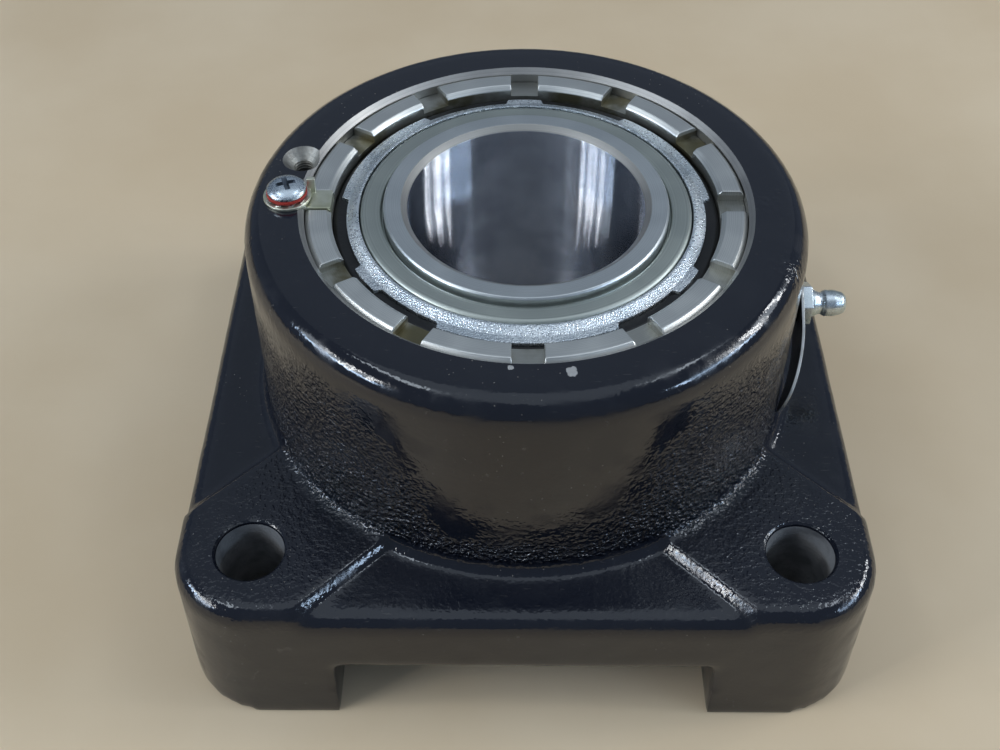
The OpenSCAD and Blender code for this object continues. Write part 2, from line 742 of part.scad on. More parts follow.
// Thin tag held under the fitting: a strip with round ends, bowed towards the barrel
module grease_tag() {
    flat = grease_boss_d / 2;
    bow_run = tag_len - flat;
    bow_r = (pow(bow_run, 2) + pow(tag_sag, 2)) / 2 / tag_sag;
    end_r = tag_w / 2;
    fall = mid_h - panel_h - tag_clear - end_r;
    drop_angle = asin(max(0, min(1, fall / (tag_len - end_r))));
    color("#c2c4c5") translate([grease_face, 0, mid_h]) rotate([drop_angle, 0, 0]) difference() {
        intersection() {
            translate([0, 0, -tag_w]) linear_extrude(2 * tag_w) {
                translate([0, -flat]) square([tag_t, flat + end_r + PAST]);
                intersection() {
                    translate([tag_t - bow_r, -flat]) difference() {
                        circle(r = bow_r, $fn = 256);
                        circle(r = bow_r - tag_t, $fn = 256);
                    }
                    translate([-tag_len, -flat - 2 * tag_len]) square(2 * tag_len);
                }
            }
            rotate([0, 90, 0]) linear_extrude(4 * tag_w, center = true) {
                circle(r = end_r);
                translate([0, end_r - tag_len]) circle(r = end_r);
                translate([-end_r, end_r - tag_len]) square([tag_w, tag_len - end_r]);
            }
        }
        rotate([0, 90, 0]) cylinder(d = grease_shank_d + LOOSE_GAP, h = 4 * tag_t, center = true);
    }
}

housing();
adjusting_nut();
nut_lock_tab();
toothed_washer();
fibre_washer();
nut_lock_screw();
inner_ring();
cup(true);  // upper_cup
cup(false);  // lower_cup
cage(true);  // upper_cage
cage(false);  // lower_cage
seal(true);  // upper_seal
seal(false);  // lower_seal
seal_retainer(true);  // upper_seal_retainer
seal_retainer(false);  // lower_seal_retainer
flinger(true);  // upper_flinger
flinger(false);  // lower_flinger
locking_collar();
set_screws();
grease_fitting();
grease_ball();
grease_spring();
grease_tag();
for (i = ROW_NUMBERS) {
    roller(true, i);
    roller(false, i);
}
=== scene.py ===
# %% [markdown]
# # Four-bolt flange bearing
# A square iron casting stands on four feet and holds a double-row roller bearing that a slotted nut adjusts.
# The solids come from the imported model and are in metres, so nothing has to be fitted by eye. This lesson gives
# them what solids leave out: the soft skin of a sand casting, enamel, turned and ground steel, zinc and rubber.

import math

import bmesh
import bpy
from mathutils import Matrix, Vector, noise


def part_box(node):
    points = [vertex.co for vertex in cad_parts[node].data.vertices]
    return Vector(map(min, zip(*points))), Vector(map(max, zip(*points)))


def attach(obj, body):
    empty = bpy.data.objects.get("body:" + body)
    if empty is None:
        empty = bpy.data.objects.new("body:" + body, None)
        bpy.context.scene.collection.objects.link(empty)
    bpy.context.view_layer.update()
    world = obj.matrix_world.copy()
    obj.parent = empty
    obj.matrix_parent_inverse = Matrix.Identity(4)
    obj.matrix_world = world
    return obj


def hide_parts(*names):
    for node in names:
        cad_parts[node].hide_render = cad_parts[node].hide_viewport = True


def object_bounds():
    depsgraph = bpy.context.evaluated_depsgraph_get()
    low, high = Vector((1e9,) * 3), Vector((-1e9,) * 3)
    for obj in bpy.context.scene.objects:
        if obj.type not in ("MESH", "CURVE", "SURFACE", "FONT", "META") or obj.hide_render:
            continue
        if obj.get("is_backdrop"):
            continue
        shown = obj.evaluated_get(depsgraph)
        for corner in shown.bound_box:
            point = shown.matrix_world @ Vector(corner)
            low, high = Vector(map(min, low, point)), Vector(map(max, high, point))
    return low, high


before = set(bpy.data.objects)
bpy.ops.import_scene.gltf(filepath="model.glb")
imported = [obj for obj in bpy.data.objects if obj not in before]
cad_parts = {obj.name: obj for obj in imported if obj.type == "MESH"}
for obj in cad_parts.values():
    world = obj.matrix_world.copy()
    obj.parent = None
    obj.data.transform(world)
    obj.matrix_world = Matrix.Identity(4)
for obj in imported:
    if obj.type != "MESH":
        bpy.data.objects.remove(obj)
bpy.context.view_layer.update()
MM = 0.001

# %% [markdown]
# ## Sizes
# Heights and outer radii are read from the nodes' boxes. The few sizes that no box shows, such as the bore of the
# nut, are named here once. All of them are in millimetres, and a mesh is scaled by MM when it is made.

# %% Sizes of the bearing
def low_of(node):
    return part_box(node)[0] / MM


def high_of(node):
    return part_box(node)[1] / MM


HOUSING_TOP = high_of("housing").z
NUT_R = high_of("adjusting_nut").x
NUT_FOOT, NUT_TOP = low_of("adjusting_nut").z, high_of("adjusting_nut").z
FLINGER_R = high_of("upper_flinger").x
FLINGER_FOOT, FLINGER_TOP = low_of("upper_flinger").z, high_of("upper_flinger").z
SEAL_FOOT, SEAL_TOP = low_of("upper_seal").z, high_of("upper_seal").z
RETAINER_TOP = high_of("upper_seal_retainer").z
MIDDLE = (low_of("upper_cup").z + high_of("lower_cup").z) / 2
BORE_R = 30.0
LAND_R = 36.0
SEAT_R = 49.0
CUP_R = high_of("upper_cup").x
print("housing top", round(HOUSING_TOP, 2), "nut", round(NUT_R, 2), "middle", round(MIDDLE, 2))

# %% [markdown]
# ## Mesh helpers
# Most of the metal here was turned on a lathe, so one helper sweeps a closed outline round the shaft's axis. The
# outline may change with the angle, which also gives slots, lugs and teeth. A second helper swaps each corner of an
# outline for a small arc, because a real edge is never quite sharp and its narrow highlight makes it look solid.

# %% Helpers that make meshes
def new_piece(name, mesh):
    piece = bpy.data.objects.new(name, mesh)
    bpy.context.scene.collection.objects.link(piece)
    return piece


def clean(mesh, merge=1e-7):
    """Merge doubles, drop what has no area and turn the faces outwards."""
    bm = bmesh.new()
    bm.from_mesh(mesh)
    bmesh.ops.remove_doubles(bm, verts=bm.verts, dist=merge)
    bmesh.ops.dissolve_degenerate(bm, edges=bm.edges, dist=merge)
    loose = [edge for edge in bm.edges if not edge.link_faces]
    bmesh.ops.delete(bm, geom=loose, context="EDGES")
    bmesh.ops.recalc_face_normals(bm, faces=bm.faces)
    bm.to_mesh(mesh)
    bm.free()


def sweep(name, outline_at, angles, closed=True):
    """Join the outlines of (radius, height) points that outline_at gives at each angle, in degrees."""
    points, faces = [], []
    for angle in angles:
        outline = outline_at(angle)
        for radius, height, *turn in outline:
            a = math.radians(angle) + (turn[0] if turn else 0.0)
            points.append((radius * math.cos(a) * MM, radius * math.sin(a) * MM, height * MM))
    count, rows = len(outline), len(angles)
    for i in range(rows if closed else rows - 1):
        k = (i + 1) % rows
        for j in range(count):
            n = (j + 1) % count
            faces.append((i * count + j, k * count + j, k * count + n, i * count + n))
    mesh = bpy.data.meshes.new(name)
    mesh.from_pydata(points, [], faces)
    clean(mesh)
    return new_piece(name, mesh)


def lathe(name, outline, turns=192):
    return sweep(name, lambda angle: outline, [360 * i / turns for i in range(turns)])


def round_corners(outline, radius, steps=3):
    """Swap each corner of a closed outline for a small arc."""
    softened = []
    for i, here in enumerate(outline):
        here = Vector(here)
        before = Vector(outline[i - 1]) - here
        after = Vector(outline[(i + 1) % len(outline)]) - here
        start = here + before.normalized() * min(radius, before.length * 0.45)
        end = here + after.normalized() * min(radius, after.length * 0.45)
        for s in range(steps + 1):
            t = s / steps
            softened.append(tuple((1 - t) ** 2 * start + 2 * t * (1 - t) * here + t * t * end))
    return softened


print("mesh helpers ready")

# %% [markdown]
# ## Finishing helpers
# A modifier is worked into the mesh at once, so that each piece is a plain mesh. Weighted normals keep a wide
# flat face flat next to a narrow rounded edge. The last helper tells the frame which body a piece rides on and which
# solid it stands for.

# %% Helpers that finish pieces
def bake(piece):
    """Turn the piece and its modifiers into a plain mesh."""
    graph = bpy.context.evaluated_depsgraph_get()
    mesh = bpy.data.meshes.new_from_object(piece.evaluated_get(graph), depsgraph=graph)
    piece.modifiers.clear()
    piece.data = mesh
    return piece


def shade(piece, sharp_angle=40):
    for face in piece.data.polygons:
        face.use_smooth = True
    piece.data.set_sharp_from_angle(angle=math.radians(sharp_angle))
    weighted = piece.modifiers.new("flat_faces", "WEIGHTED_NORMAL")
    weighted.keep_sharp = True
    return bake(piece)


def cut(piece, cutter):
    """Take the cutter out of the piece. The cut faces keep the number of the cutter's material slot."""
    modifier = piece.modifiers.new("cut", "BOOLEAN")
    modifier.operation = "DIFFERENCE"
    modifier.solver = "MANIFOLD"
    modifier.object = cutter
    bake(piece)
    bpy.data.objects.remove(cutter)
    return piece


def merged_copy(node, name):
    """A copy of a solid's mesh with its loose triangles joined up."""
    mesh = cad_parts[node].data.copy()
    mesh.name = name
    mesh.materials.clear()
    bm = bmesh.new()
    bm.from_mesh(mesh)
    bmesh.ops.remove_doubles(bm, verts=bm.verts, dist=1e-6)
    bmesh.ops.dissolve_limit(bm, angle_limit=math.radians(0.4), verts=bm.verts, edges=bm.edges)
    bm.to_mesh(mesh)
    bm.free()
    return new_piece(name, mesh)


def join(name, *pieces):
    """One mesh from several pieces, which are then removed."""
    bm = bmesh.new()
    for piece in pieces:
        bm.from_mesh(piece.data)
        bpy.data.objects.remove(piece)
    mesh = bpy.data.meshes.new(name)
    bm.to_mesh(mesh)
    bm.free()
    return new_piece(name, mesh)


def soften_edges(piece, width, steps=2):
    bevel = piece.modifiers.new("edges", "BEVEL")
    bevel.width = width * MM
    bevel.segments = steps
    bevel.limit_method = "ANGLE"
    bevel.angle_limit = math.radians(35)
    bevel.use_clamp_overlap = False
    return bake(piece)


def dress(piece, material, body, slot, *nodes):
    """Give the piece its material, its body and the solids that it stands for. The slot is not used."""
    if material:
        piece.data.materials.clear()
        piece.data.materials.append(material)
    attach(piece, body)
    if nodes:
        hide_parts(*nodes)
    piece.data.calc_loop_triangles()
    print(piece.name, "rides", body, "triangles", len(piece.data.loop_triangles))
    return piece


print("finishing helpers ready")

# %% [markdown]
# ## Shader helpers
# A material is a tree of nodes. These helpers place a node, set its sockets by name and link those that are given
# another node's socket, so that each finish below reads as a short recipe.

# %% Helpers that build node trees
def place(tree, kind, settings=None, **sockets):
    node = tree.nodes.new(kind)
    for key, value in (settings or {}).items():
        setattr(node, key, value)
    for key, value in sockets.items():
        plug(tree, node.inputs[key.replace("_", " ")], value)
    return node


def plug(tree, socket, value):
    if isinstance(value, bpy.types.NodeSocket):
        tree.links.new(value, socket)
    else:
        socket.default_value = value


def maths(tree, operation, *values):
    node = tree.nodes.new("ShaderNodeMath")
    node.operation = operation
    for socket, value in zip(node.inputs, values):
        plug(tree, socket, value)
    return node.outputs[0]


def spread(tree, value, low, high, to_low=0.0, to_high=1.0):
    """Map a value smoothly from one range to another."""
    node = place(tree, "ShaderNodeMapRange", {"interpolation_type": "SMOOTHSTEP"}, Value=value)
    for name, number in (("From Min", low), ("From Max", high), ("To Min", to_low), ("To Max", to_high)):
        plug(tree, node.inputs[name], number)
    return node.outputs[0]


def blend(tree, factor, one, two):
    """Mix two colours."""
    node = tree.nodes.new("ShaderNodeMix")
    node.data_type = "RGBA"
    plug(tree, node.inputs[0], factor)
    plug(tree, node.inputs[6], one)
    plug(tree, node.inputs[7], two)
    return node.outputs[2]


def grain(tree, vector, scale, detail=2.0):
    return place(tree, "ShaderNodeTexNoise", Vector=vector, Scale=scale, Detail=detail).outputs[0]


def paint(code):
    """A colour written as on screen, as the linear values that shaders use."""
    parts = [int(code[i : i + 2], 16) / 255 for i in (1, 3, 5)]
    linear = [p / 12.92 if p <= 0.04045 else ((p + 0.055) / 1.055) ** 2.4 for p in parts]
    return (*linear, 1.0)


def new_finish(name, **sockets):
    """A material with one Principled shader, whose plain sockets are set here."""
    material = bpy.data.materials.new(name)
    material.use_nodes = True
    tree = material.node_tree
    shader = tree.nodes["Principled BSDF"]
    for key, value in sockets.items():
        plug(tree, shader.inputs[key.replace("_", " ")], value)
    return material, tree, shader


def raise_surface(tree, shader, height, distance, strength=1.0):
    """Let a height, in millimetres at 1, tilt the shading normal."""
    bump = place(tree, "ShaderNodeBump", Height=height, Distance=distance * MM, Strength=strength)
    plug(tree, shader.inputs["Normal"], bump.outputs[0])


def new_group(name, inputs, outputs):
    """A shader node group. inputs is {name: default} and outputs a list of names, all plain values."""
    tree = bpy.data.node_groups.new(name, "ShaderNodeTree")
    for key, value in inputs.items():
        socket = tree.interface.new_socket(key, in_out="INPUT", socket_type="NodeSocketFloat")
        socket.default_value = value
    for key in outputs:
        tree.interface.new_socket(key, in_out="OUTPUT", socket_type="NodeSocketFloat")
    return tree, tree.nodes.new("NodeGroupInput").outputs, tree.nodes.new("NodeGroupOutput").inputs


def use(tree, group, **sockets):
    node = tree.nodes.new("ShaderNodeGroup")
    node.node_tree = group
    for key, value in sockets.items():
        plug(tree, node.inputs[key.replace("_", " ")], value)
    return node.outputs


def object_place(tree):
    return tree.nodes.new("ShaderNodeTexCoord").outputs["Object"]


print("shader helpers ready")

# %% [markdown]
# ## Shared effects
# Several finishes share three effects, so each is a node group with its own inputs. Tool marks are fine lines that
# run round the shaft's axis: on a flat face they change with the radius and on a bore with the height. Handling gives
# large soft patches where metal is a little duller. Plating is a fine sparkle of small crystals.

# %% Tool marks, handling and plating
tool_marks, given, made = new_group("tool_marks", {"Lines per mm": 6.0}, ["On faces", "On bores"])
spot = place(tool_marks, "ShaderNodeSeparateXYZ", Vector=object_place(tool_marks)).outputs
flat_place = place(tool_marks, "ShaderNodeCombineXYZ", X=spot["X"], Y=spot["Y"]).outputs[0]
axis_distance = place(tool_marks, "ShaderNodeVectorMath", {"operation": "LENGTH"}, Vector=flat_place).outputs["Value"]
lines_per_metre = maths(tool_marks, "DIVIDE", given[0], MM)
for socket, along in zip(made, (axis_distance, spot["Z"])):
    line = place(tool_marks, "ShaderNodeTexNoise", {"noise_dimensions": "1D"}, Detail=3.0, Scale=1.0)
    plug(tool_marks, line.inputs["W"], maths(tool_marks, "MULTIPLY", along, lines_per_metre))
    plug(tool_marks, socket, line.outputs[0])

handling, given, made = new_group("handling", {"Patches per metre": 60.0}, ["Dullness", "Scratches"])
patch = grain(handling, object_place(handling), given[0], 4.0)
plug(handling, made[0], spread(handling, patch, 0.38, 0.66))
stretched = place(handling, "ShaderNodeMapping", Vector=object_place(handling))
stretched.inputs["Scale"].default_value = (1.0, 9.0, 1.0)
stretched.inputs["Rotation"].default_value = (0.0, 0.0, 0.6)
scratch = grain(handling, stretched.outputs[0], maths(handling, "MULTIPLY", given[0], 4.0), 5.0)
plug(handling, made[1], spread(handling, scratch, 0.66, 0.74))

plating, given, made = new_group("plating", {"Crystals per mm": 2.5}, ["Sparkle", "Height"])
crystal_scale = maths(plating, "DIVIDE", given[0], MM)
crystal = place(plating, "ShaderNodeTexVoronoi", Vector=object_place(plating), Scale=crystal_scale)
plug(plating, made[0], place(plating, "ShaderNodeSeparateColor", Color=crystal.outputs["Color"]).outputs[0])
plug(plating, made[1], crystal.outputs["Distance"])
print("groups", tool_marks.name, handling.name, plating.name)

# %% [markdown]
# ## Black enamel
# The casting was sprayed with gloss black enamel. High on the barrel it is smooth with a little orange peel; lower
# down the grain of the sand mould shows through as fine pebbles that sparkle. Two noises make the pebbles, round cells
# are single grains of sand, and a mask that follows the height fades them out towards the rim and the front. They are
# coarsest just above the flange and faint on it. Rare spots of a third noise are dust, smudges make the gloss uneven,
# and three small chips near the rim are round spots with a ragged edge.

# %% The enamel
SMOOTH_ABOVE, PEBBLED_BELOW = 98.0, 78.0
FLANGE_LEVEL = 45.0
SMOOTH_FRONT = 38.0
CHIPS = ((9.5, -59.4, 1.5), (-3.9, -58.4, 0.8), (31.0, -62.5, 0.7))
black_enamel, tree, shader = new_finish("black_enamel", IOR=1.6)
where = object_place(tree)
spot = place(tree, "ShaderNodeSeparateXYZ", Vector=where).outputs
level = spot["Z"]
patches = maths(tree, "MULTIPLY", maths(tree, "SUBTRACT", grain(tree, where, 60.0, 3.0), 0.5), 50 * MM)
aside = maths(tree, "ABSOLUTE", spot["X"])
at_front = spread(tree, aside, 45 * MM, 12 * MM, 0.0, SMOOTH_FRONT * MM)
wandering = maths(tree, "ADD", level, maths(tree, "ADD", patches, at_front))
on_flange = spread(tree, level, (FLANGE_LEVEL - 8) * MM, (FLANGE_LEVEL - 5.5) * MM, 0.02, 0.07)
coarse = spread(tree, level, (FLANGE_LEVEL + 5) * MM, (FLANGE_LEVEL + 25) * MM, 1.8, 0.8)
above_flange = spread(tree, level, (FLANGE_LEVEL - 1) * MM, (FLANGE_LEVEL + 1.5) * MM)
on_wall = maths(tree, "MULTIPLY", above_flange, coarse)
low_down = spread(tree, wandering, SMOOTH_ABOVE * MM, PEBBLED_BELOW * MM, 0.03, 1.0)
pebbled = maths(tree, "MULTIPLY", low_down, maths(tree, "ADD", on_flange, on_wall))
pebbles = spread(tree, grain(tree, where, 820.0, 1.0), 0.35, 0.7, 0.0, 2.2)
skin = maths(tree, "ADD", pebbles, maths(tree, "MULTIPLY", grain(tree, where, 1900.0, 2.0), 0.7))
peel = maths(tree, "MULTIPLY", grain(tree, where, 260.0, 1.0), 0.12)
seed_gap = place(tree, "ShaderNodeTexVoronoi", Vector=where, Scale=1100.0).outputs["Distance"]
sown = spread(tree, grain(tree, where, 300.0), 0.5, 0.6)
skin = maths(tree, "ADD", skin, maths(tree, "MULTIPLY", spread(tree, seed_gap, 0.35, 0.05), sown))
raise_surface(tree, shader, maths(tree, "ADD", maths(tree, "MULTIPLY", skin, pebbled), peel), 0.2)
speck = place(tree, "ShaderNodeTexVoronoi", Vector=where, Scale=520.0).outputs["Distance"]
dusty = maths(tree, "MULTIPLY", spread(tree, speck, 0.11, 0.05), spread(tree, grain(tree, where, 45.0), 0.46, 0.58))
lint = maths(tree, "MULTIPLY", use(tree, handling, Patches_per_metre=70.0)["Scratches"], 0.15)
dusty = maths(tree, "MAXIMUM", maths(tree, "MULTIPLY", dusty, 0.8), lint)
ragged = maths(tree, "MULTIPLY", maths(tree, "SUBTRACT", grain(tree, where, 480.0, 4.0), 0.5), 2.0 * MM)
chipped = 0.0
for x, y, radius in CHIPS:
    away = place(tree, "ShaderNodeVectorMath", {"operation": "DISTANCE"}, Vector=where)
    away.inputs[1].default_value = (x * MM, y * MM, (HOUSING_TOP - 0.3) * MM)
    edge = maths(tree, "ADD", away.outputs["Value"], ragged)
    chipped = maths(tree, "MAXIMUM", chipped, spread(tree, edge, radius * MM, (radius - 0.15) * MM))
enamel = blend(tree, dusty, paint("#12151e"), paint("#77726a"))
plug(tree, shader.inputs["Base Color"], blend(tree, chipped, enamel, paint("#9b9a98")))
smudged = spread(tree, grain(tree, where, 110.0, 6.0), 0.42, 0.68)
plug(tree, shader.inputs["Roughness"], maths(tree, "ADD", spread(tree, smudged, 0.0, 1.0, 0.09, 0.26), chipped))
print("finish", black_enamel.name, "with", len(CHIPS), "chips")

# %% [markdown]
# ## Steel finishes
# The bearing's steels differ mainly in how they were cut: the nut is turned and then dulled, the inner ring is ground
# on its end and honed to a mirror in its bore, the rollers are polished. All are metallic and take their lines from
# the tool marks group. The marks in the bore are finer than a pixel, so there each ray meets a groove that leans by
# chance, mostly upwards. That spreads a reflection along the bore and gives the long bright streaks.

# %% Turned, ground and polished steel
def cut_steel(name, colour, dull, marks_on, lines, depth, olive=None):
    """Steel with tool marks. olive is a height, in mm, below which oil has tinted the surface."""
    material, tree, shader = new_finish(name, Metallic=1.0)
    marks = use(tree, tool_marks, Lines_per_mm=lines)[marks_on]
    patches = use(tree, handling, Patches_per_metre=80.0)
    tone = spread(tree, marks, 0.2, 0.8, 0.86, 1.08)
    toned = place(tree, "ShaderNodeVectorMath", {"operation": "SCALE"}, Scale=tone)
    toned.inputs[0].default_value = paint(colour)[:3]
    colour_now = toned.outputs["Vector"]
    if olive:
        level = place(tree, "ShaderNodeSeparateXYZ", Vector=object_place(tree)).outputs["Z"]
        patchy = spread(tree, patches["Dullness"], 0.0, 1.0, 0.35, 0.9)
        oily = maths(tree, "MULTIPLY", spread(tree, level, (olive + 0.5) * MM, olive * MM), patchy)
        colour_now = blend(tree, oily, colour_now, paint("#5f5732"))
    plug(tree, shader.inputs["Base Color"], colour_now)
    worn = maths(tree, "MULTIPLY", patches["Dullness"], 0.1)
    plug(tree, shader.inputs["Roughness"], maths(tree, "ADD", worn, dull))
    raise_surface(tree, shader, marks, depth)
    return material


satin_nut = cut_steel("satin_nut", "#d6d7d3", 0.38, "On faces", 5.0, 0.006, olive=NUT_TOP - 1.5)
ground_face = cut_steel("ground_face", "#cdd1d1", 0.36, "On faces", 7.0, 0.008)
bare_iron = cut_steel("bare_iron", "#b0aeaa", 0.38, "On faces", 4.0, 0.008)
race_steel = cut_steel("race_steel", "#b4b6b8", 0.16, "On bores", 8.0, 0.004)
roller_steel = cut_steel("roller_steel", "#cfd1d4", 0.1, "On bores", 8.0, 0.002)
grey_flinger = cut_steel("grey_flinger", "#b6bbb4", 0.42, "On faces", 3.0, 0.01)
pressed_cage = cut_steel("pressed_cage", "#8b8c88", 0.34, "On faces", 2.0, 0.01)
spring_wire = cut_steel("spring_wire", "#8c8d90", 0.25, "On faces", 6.0, 0.004)
turned_edge = cut_steel("turned_edge", "#a9a7a2", 0.5, "On faces", 3.0, 0.02)
# Faces of the screw's recess: darker, partly grime and partly painted shade inside the recess.
grime_and_shade_recess = cut_steel("grime_and_shade_recess", "#808891", 0.4, "On faces", 3.0, 0.01)
black_oxide = cut_steel("black_oxide", "#35363a", 0.36, "On faces", 5.0, 0.008)
print("finishes", satin_nut.name, ground_face.name, race_steel.name, "and eight more")

# %% Honed steel of the bore
LEAN_LOW, LEAN_HIGH = -0.2, 1.1
honed_bore, tree, shader = new_finish("honed_bore", Metallic=1.0, Anisotropic=1.0, Anisotropic_Rotation=0.25)
round_axis = place(tree, "ShaderNodeTangent", {"direction_type": "RADIAL", "axis": "Z"})
plug(tree, shader.inputs["Tangent"], round_axis.outputs[0])
height = place(tree, "ShaderNodeSeparateXYZ", Vector=object_place(tree)).outputs["Z"]
groove = place(tree, "ShaderNodeTexWhiteNoise", {"noise_dimensions": "1D"}, W=height).outputs["Value"]
lean = spread(tree, groove, 0.0, 1.0, LEAN_LOW, LEAN_HIGH)
upward = place(tree, "ShaderNodeCombineXYZ", Z=lean).outputs[0]
wall = tree.nodes.new("ShaderNodeNewGeometry").outputs["Normal"]
leaning = place(tree, "ShaderNodeVectorMath", {"operation": "ADD"})
plug(tree, leaning.inputs[0], wall)
plug(tree, leaning.inputs[1], upward)
honed = place(tree, "ShaderNodeVectorMath", {"operation": "NORMALIZE"}, Vector=leaning.outputs[0])
plug(tree, shader.inputs["Normal"], honed.outputs[0])
cloudy = grain(tree, object_place(tree), 70.0, 4.0)
clouds = spread(tree, cloudy, 0.35, 0.65)
plug(tree, shader.inputs["Base Color"], blend(tree, clouds, paint("#b9bbc0"), paint("#9a9da4")))
plug(tree, shader.inputs["Roughness"], spread(tree, cloudy, 0.3, 0.7, 0.13, 0.17))
print("finish", honed_bore.name)

# %% [markdown]
# ## Plated and soft finishes
# Zinc leaves a fine sparkle, with a blue or olive tint from its passivation. The fibre washer and the rubber seals
# are dull, so noise in their colour and a faint grain are enough. The drilled holes are bare iron with a torn surface,
# and low down, in the bolt holes, the iron is painted darker as painted shade deep in a hole.

# %% Zinc, fibre, rubber and drilled iron
def plated(name, colour, second_colour, dull, crystals, depth):
    material, tree, shader = new_finish(name, Metallic=1.0)
    zinc = use(tree, plating, Crystals_per_mm=crystals)
    patches = use(tree, handling, Patches_per_metre=120.0)
    plug(tree, shader.inputs["Base Color"], blend(tree, patches["Dullness"], paint(colour), paint(second_colour)))
    plug(tree, shader.inputs["Roughness"], spread(tree, zinc["Sparkle"], 0.0, 1.0, dull - 0.1, dull + 0.1))
    raise_surface(tree, shader, zinc["Height"], depth)
    return material


def soft(name, colour, second_colour, dull, grain_scale, depth):
    material, tree, shader = new_finish(name)
    where = object_place(tree)
    plug(tree, shader.inputs["Base Color"], blend(tree, grain(tree, where, 260.0), paint(colour), paint(second_colour)))
    patches = use(tree, handling, Patches_per_metre=150.0)
    plug(tree, shader.inputs["Roughness"], spread(tree, patches["Dullness"], 0.0, 1.0, dull, dull + 0.15))
    raise_surface(tree, shader, grain(tree, where, grain_scale), depth)
    return material


retainer_zinc = plated("retainer_zinc", "#e1e6e9", "#c4ccd2", 0.36, 2.6, 0.17)
bright_zinc = plated("bright_zinc", "#d3dde4", "#b7c4ce", 0.3, 4.0, 0.004)
white_zinc = plated("white_zinc", "#dcdfe0", "#c4c8ca", 0.36, 5.0, 0.006)
olive_chromate = plated("olive_chromate", "#dcdcca", "#c6c7ac", 0.42, 4.0, 0.004)
fitting_zinc = plated("fitting_zinc", "#d6dee2", "#bcc8c6", 0.36, 5.0, 0.004)
tag_metal = plated("tag_metal", "#c6c6c4", "#aeadab", 0.42, 3.0, 0.006)
seal_rubber = soft("seal_rubber", "#101011", "#1c1c1d", 0.36, 900.0, 0.05)
red_fibre = soft("red_fibre", "#b8382a", "#8e2119", 0.55, 1500.0, 0.06)

drilled_iron, tree, shader = new_finish("drilled_iron", Roughness=0.5)
where = object_place(tree)
rust = use(tree, handling, Patches_per_metre=150.0)["Dullness"]
level = place(tree, "ShaderNodeSeparateXYZ", Vector=where).outputs["Z"]
bright_cut = blend(tree, rust, paint("#98968f"), paint("#6d6b67"))
# Painted shade: below the rim the drilled iron is painted darker, for the shade that falls deep in the bolt holes.
painted_shade_cut = blend(tree, rust, paint("#858585"), paint("#626263"))
in_rim = spread(tree, level, (HOUSING_TOP - 25) * MM, (HOUSING_TOP - 15) * MM)
plug(tree, shader.inputs["Base Color"], blend(tree, in_rim, painted_shade_cut, bright_cut))
plug(tree, shader.inputs["Metallic"], spread(tree, in_rim, 0.0, 1.0, 0.1, 0.75))
torn = maths(tree, "ADD", use(tree, tool_marks, Lines_per_mm=2.0)["On bores"], grain(tree, where, 1300.0, 3.0))
raise_surface(tree, shader, torn, 0.12)
print("finishes", retainer_zinc.name, red_fibre.name, drilled_iron.name, "and six more")

# %% [markdown]
# ## The casting
# The solid has crisp edges, and a sand casting has none. A copy of it is filled where it was machined, skinned with
# small even faces and smoothed, which rounds every edge a little. Seeded noise then moves the skin by about a tenth
# of a millimetre, as the mould does. Sculpting would give the same look, but noise gives the same one every time.

# %% Cast skin of the housing
SKIN = 1.3
SKIN_PASSES = 5
BOLT_AT = 68.25
BOLT_R = 8.5
BOSS_TOP = 44.4
RELIEF_TOP = 21.8
LOCK_R = NUT_R + 4.4
SPARE_ANGLE = math.radians(165)
TAG_T = 0.8
GREASE_FACE = high_of("grease_tag").x - TAG_T
SHANK_DEPTH = 8.0


def rod(name, radius, low, high, x=0.0, y=0.0, turns=64):
    piece = lathe(name, [(0.0, low), (radius, low), (radius, high), (0.0, high)], turns)
    piece.data.transform(Matrix.Translation((x * MM, y * MM, 0.0)))
    return piece


def lay_along_x(piece):
    """Turn a piece from the shaft's axis to the grease fitting's axis."""
    turned = Matrix.Translation((0.0, 0.0, MIDDLE * MM)) @ Matrix.Rotation(math.radians(90), 4, "Y")
    piece.data.transform(turned)
    return piece


corners = [(x * BOLT_AT, y * BOLT_AT) for x in (-1, 1) for y in (-1, 1)]
lock_places = [(-LOCK_R, 0.0), (LOCK_R * math.cos(SPARE_ANGLE), LOCK_R * math.sin(SPARE_ANGLE))]
fills = [rod("fill", CUP_R + 4, RELIEF_TOP, HOUSING_TOP)]
fills += [rod("fill", BOLT_R + 1, 0.0, BOSS_TOP, x, y) for x, y in corners]
fills += [rod("fill", 6.5, HOUSING_TOP - 20, HOUSING_TOP, x, y) for x, y in lock_places]
fills += [lay_along_x(rod("fill", 5.0, SEAT_R, GREASE_FACE))]
casting = join("housing_casting", merged_copy("housing", "raw_housing"), *fills)
skin_modifier = casting.modifiers.new("skin", "REMESH")
skin_modifier.mode = "VOXEL"
skin_modifier.voxel_size = SKIN * MM
soft_modifier = casting.modifiers.new("soft_edges", "SMOOTH")
soft_modifier.factor = 0.5
soft_modifier.iterations = SKIN_PASSES
bake(casting)
print("skin faces", len(casting.data.polygons))

# %% Unevenness of the mould
WAVE = (0.1, 30.0)
LUMPS = (0.07, 170.0)
FOOT_FLAT = 0.6
skin_normals = [vertex.normal.copy() for vertex in casting.data.vertices]
for vertex, normal in zip(casting.data.vertices, skin_normals):
    place_now = vertex.co.copy()
    rise = WAVE[0] * noise.noise(place_now * WAVE[1])
    lower = 1.0 - max(0.0, min(1.0, (place_now.z / MM - PEBBLED_BELOW) / (SMOOTH_ABOVE - PEBBLED_BELOW)))
    rise += LUMPS[0] * (0.2 + 0.8 * lower) * noise.noise(place_now * LUMPS[1] + Vector((7.0, 3.0, 5.0)))
    vertex.co = place_now + normal * rise * MM
    if place_now.z < FOOT_FLAT * MM:
        vertex.co.z = 0.0
print("lowest point in mm", round(min(v.co.z for v in casting.data.vertices) / MM, 3))

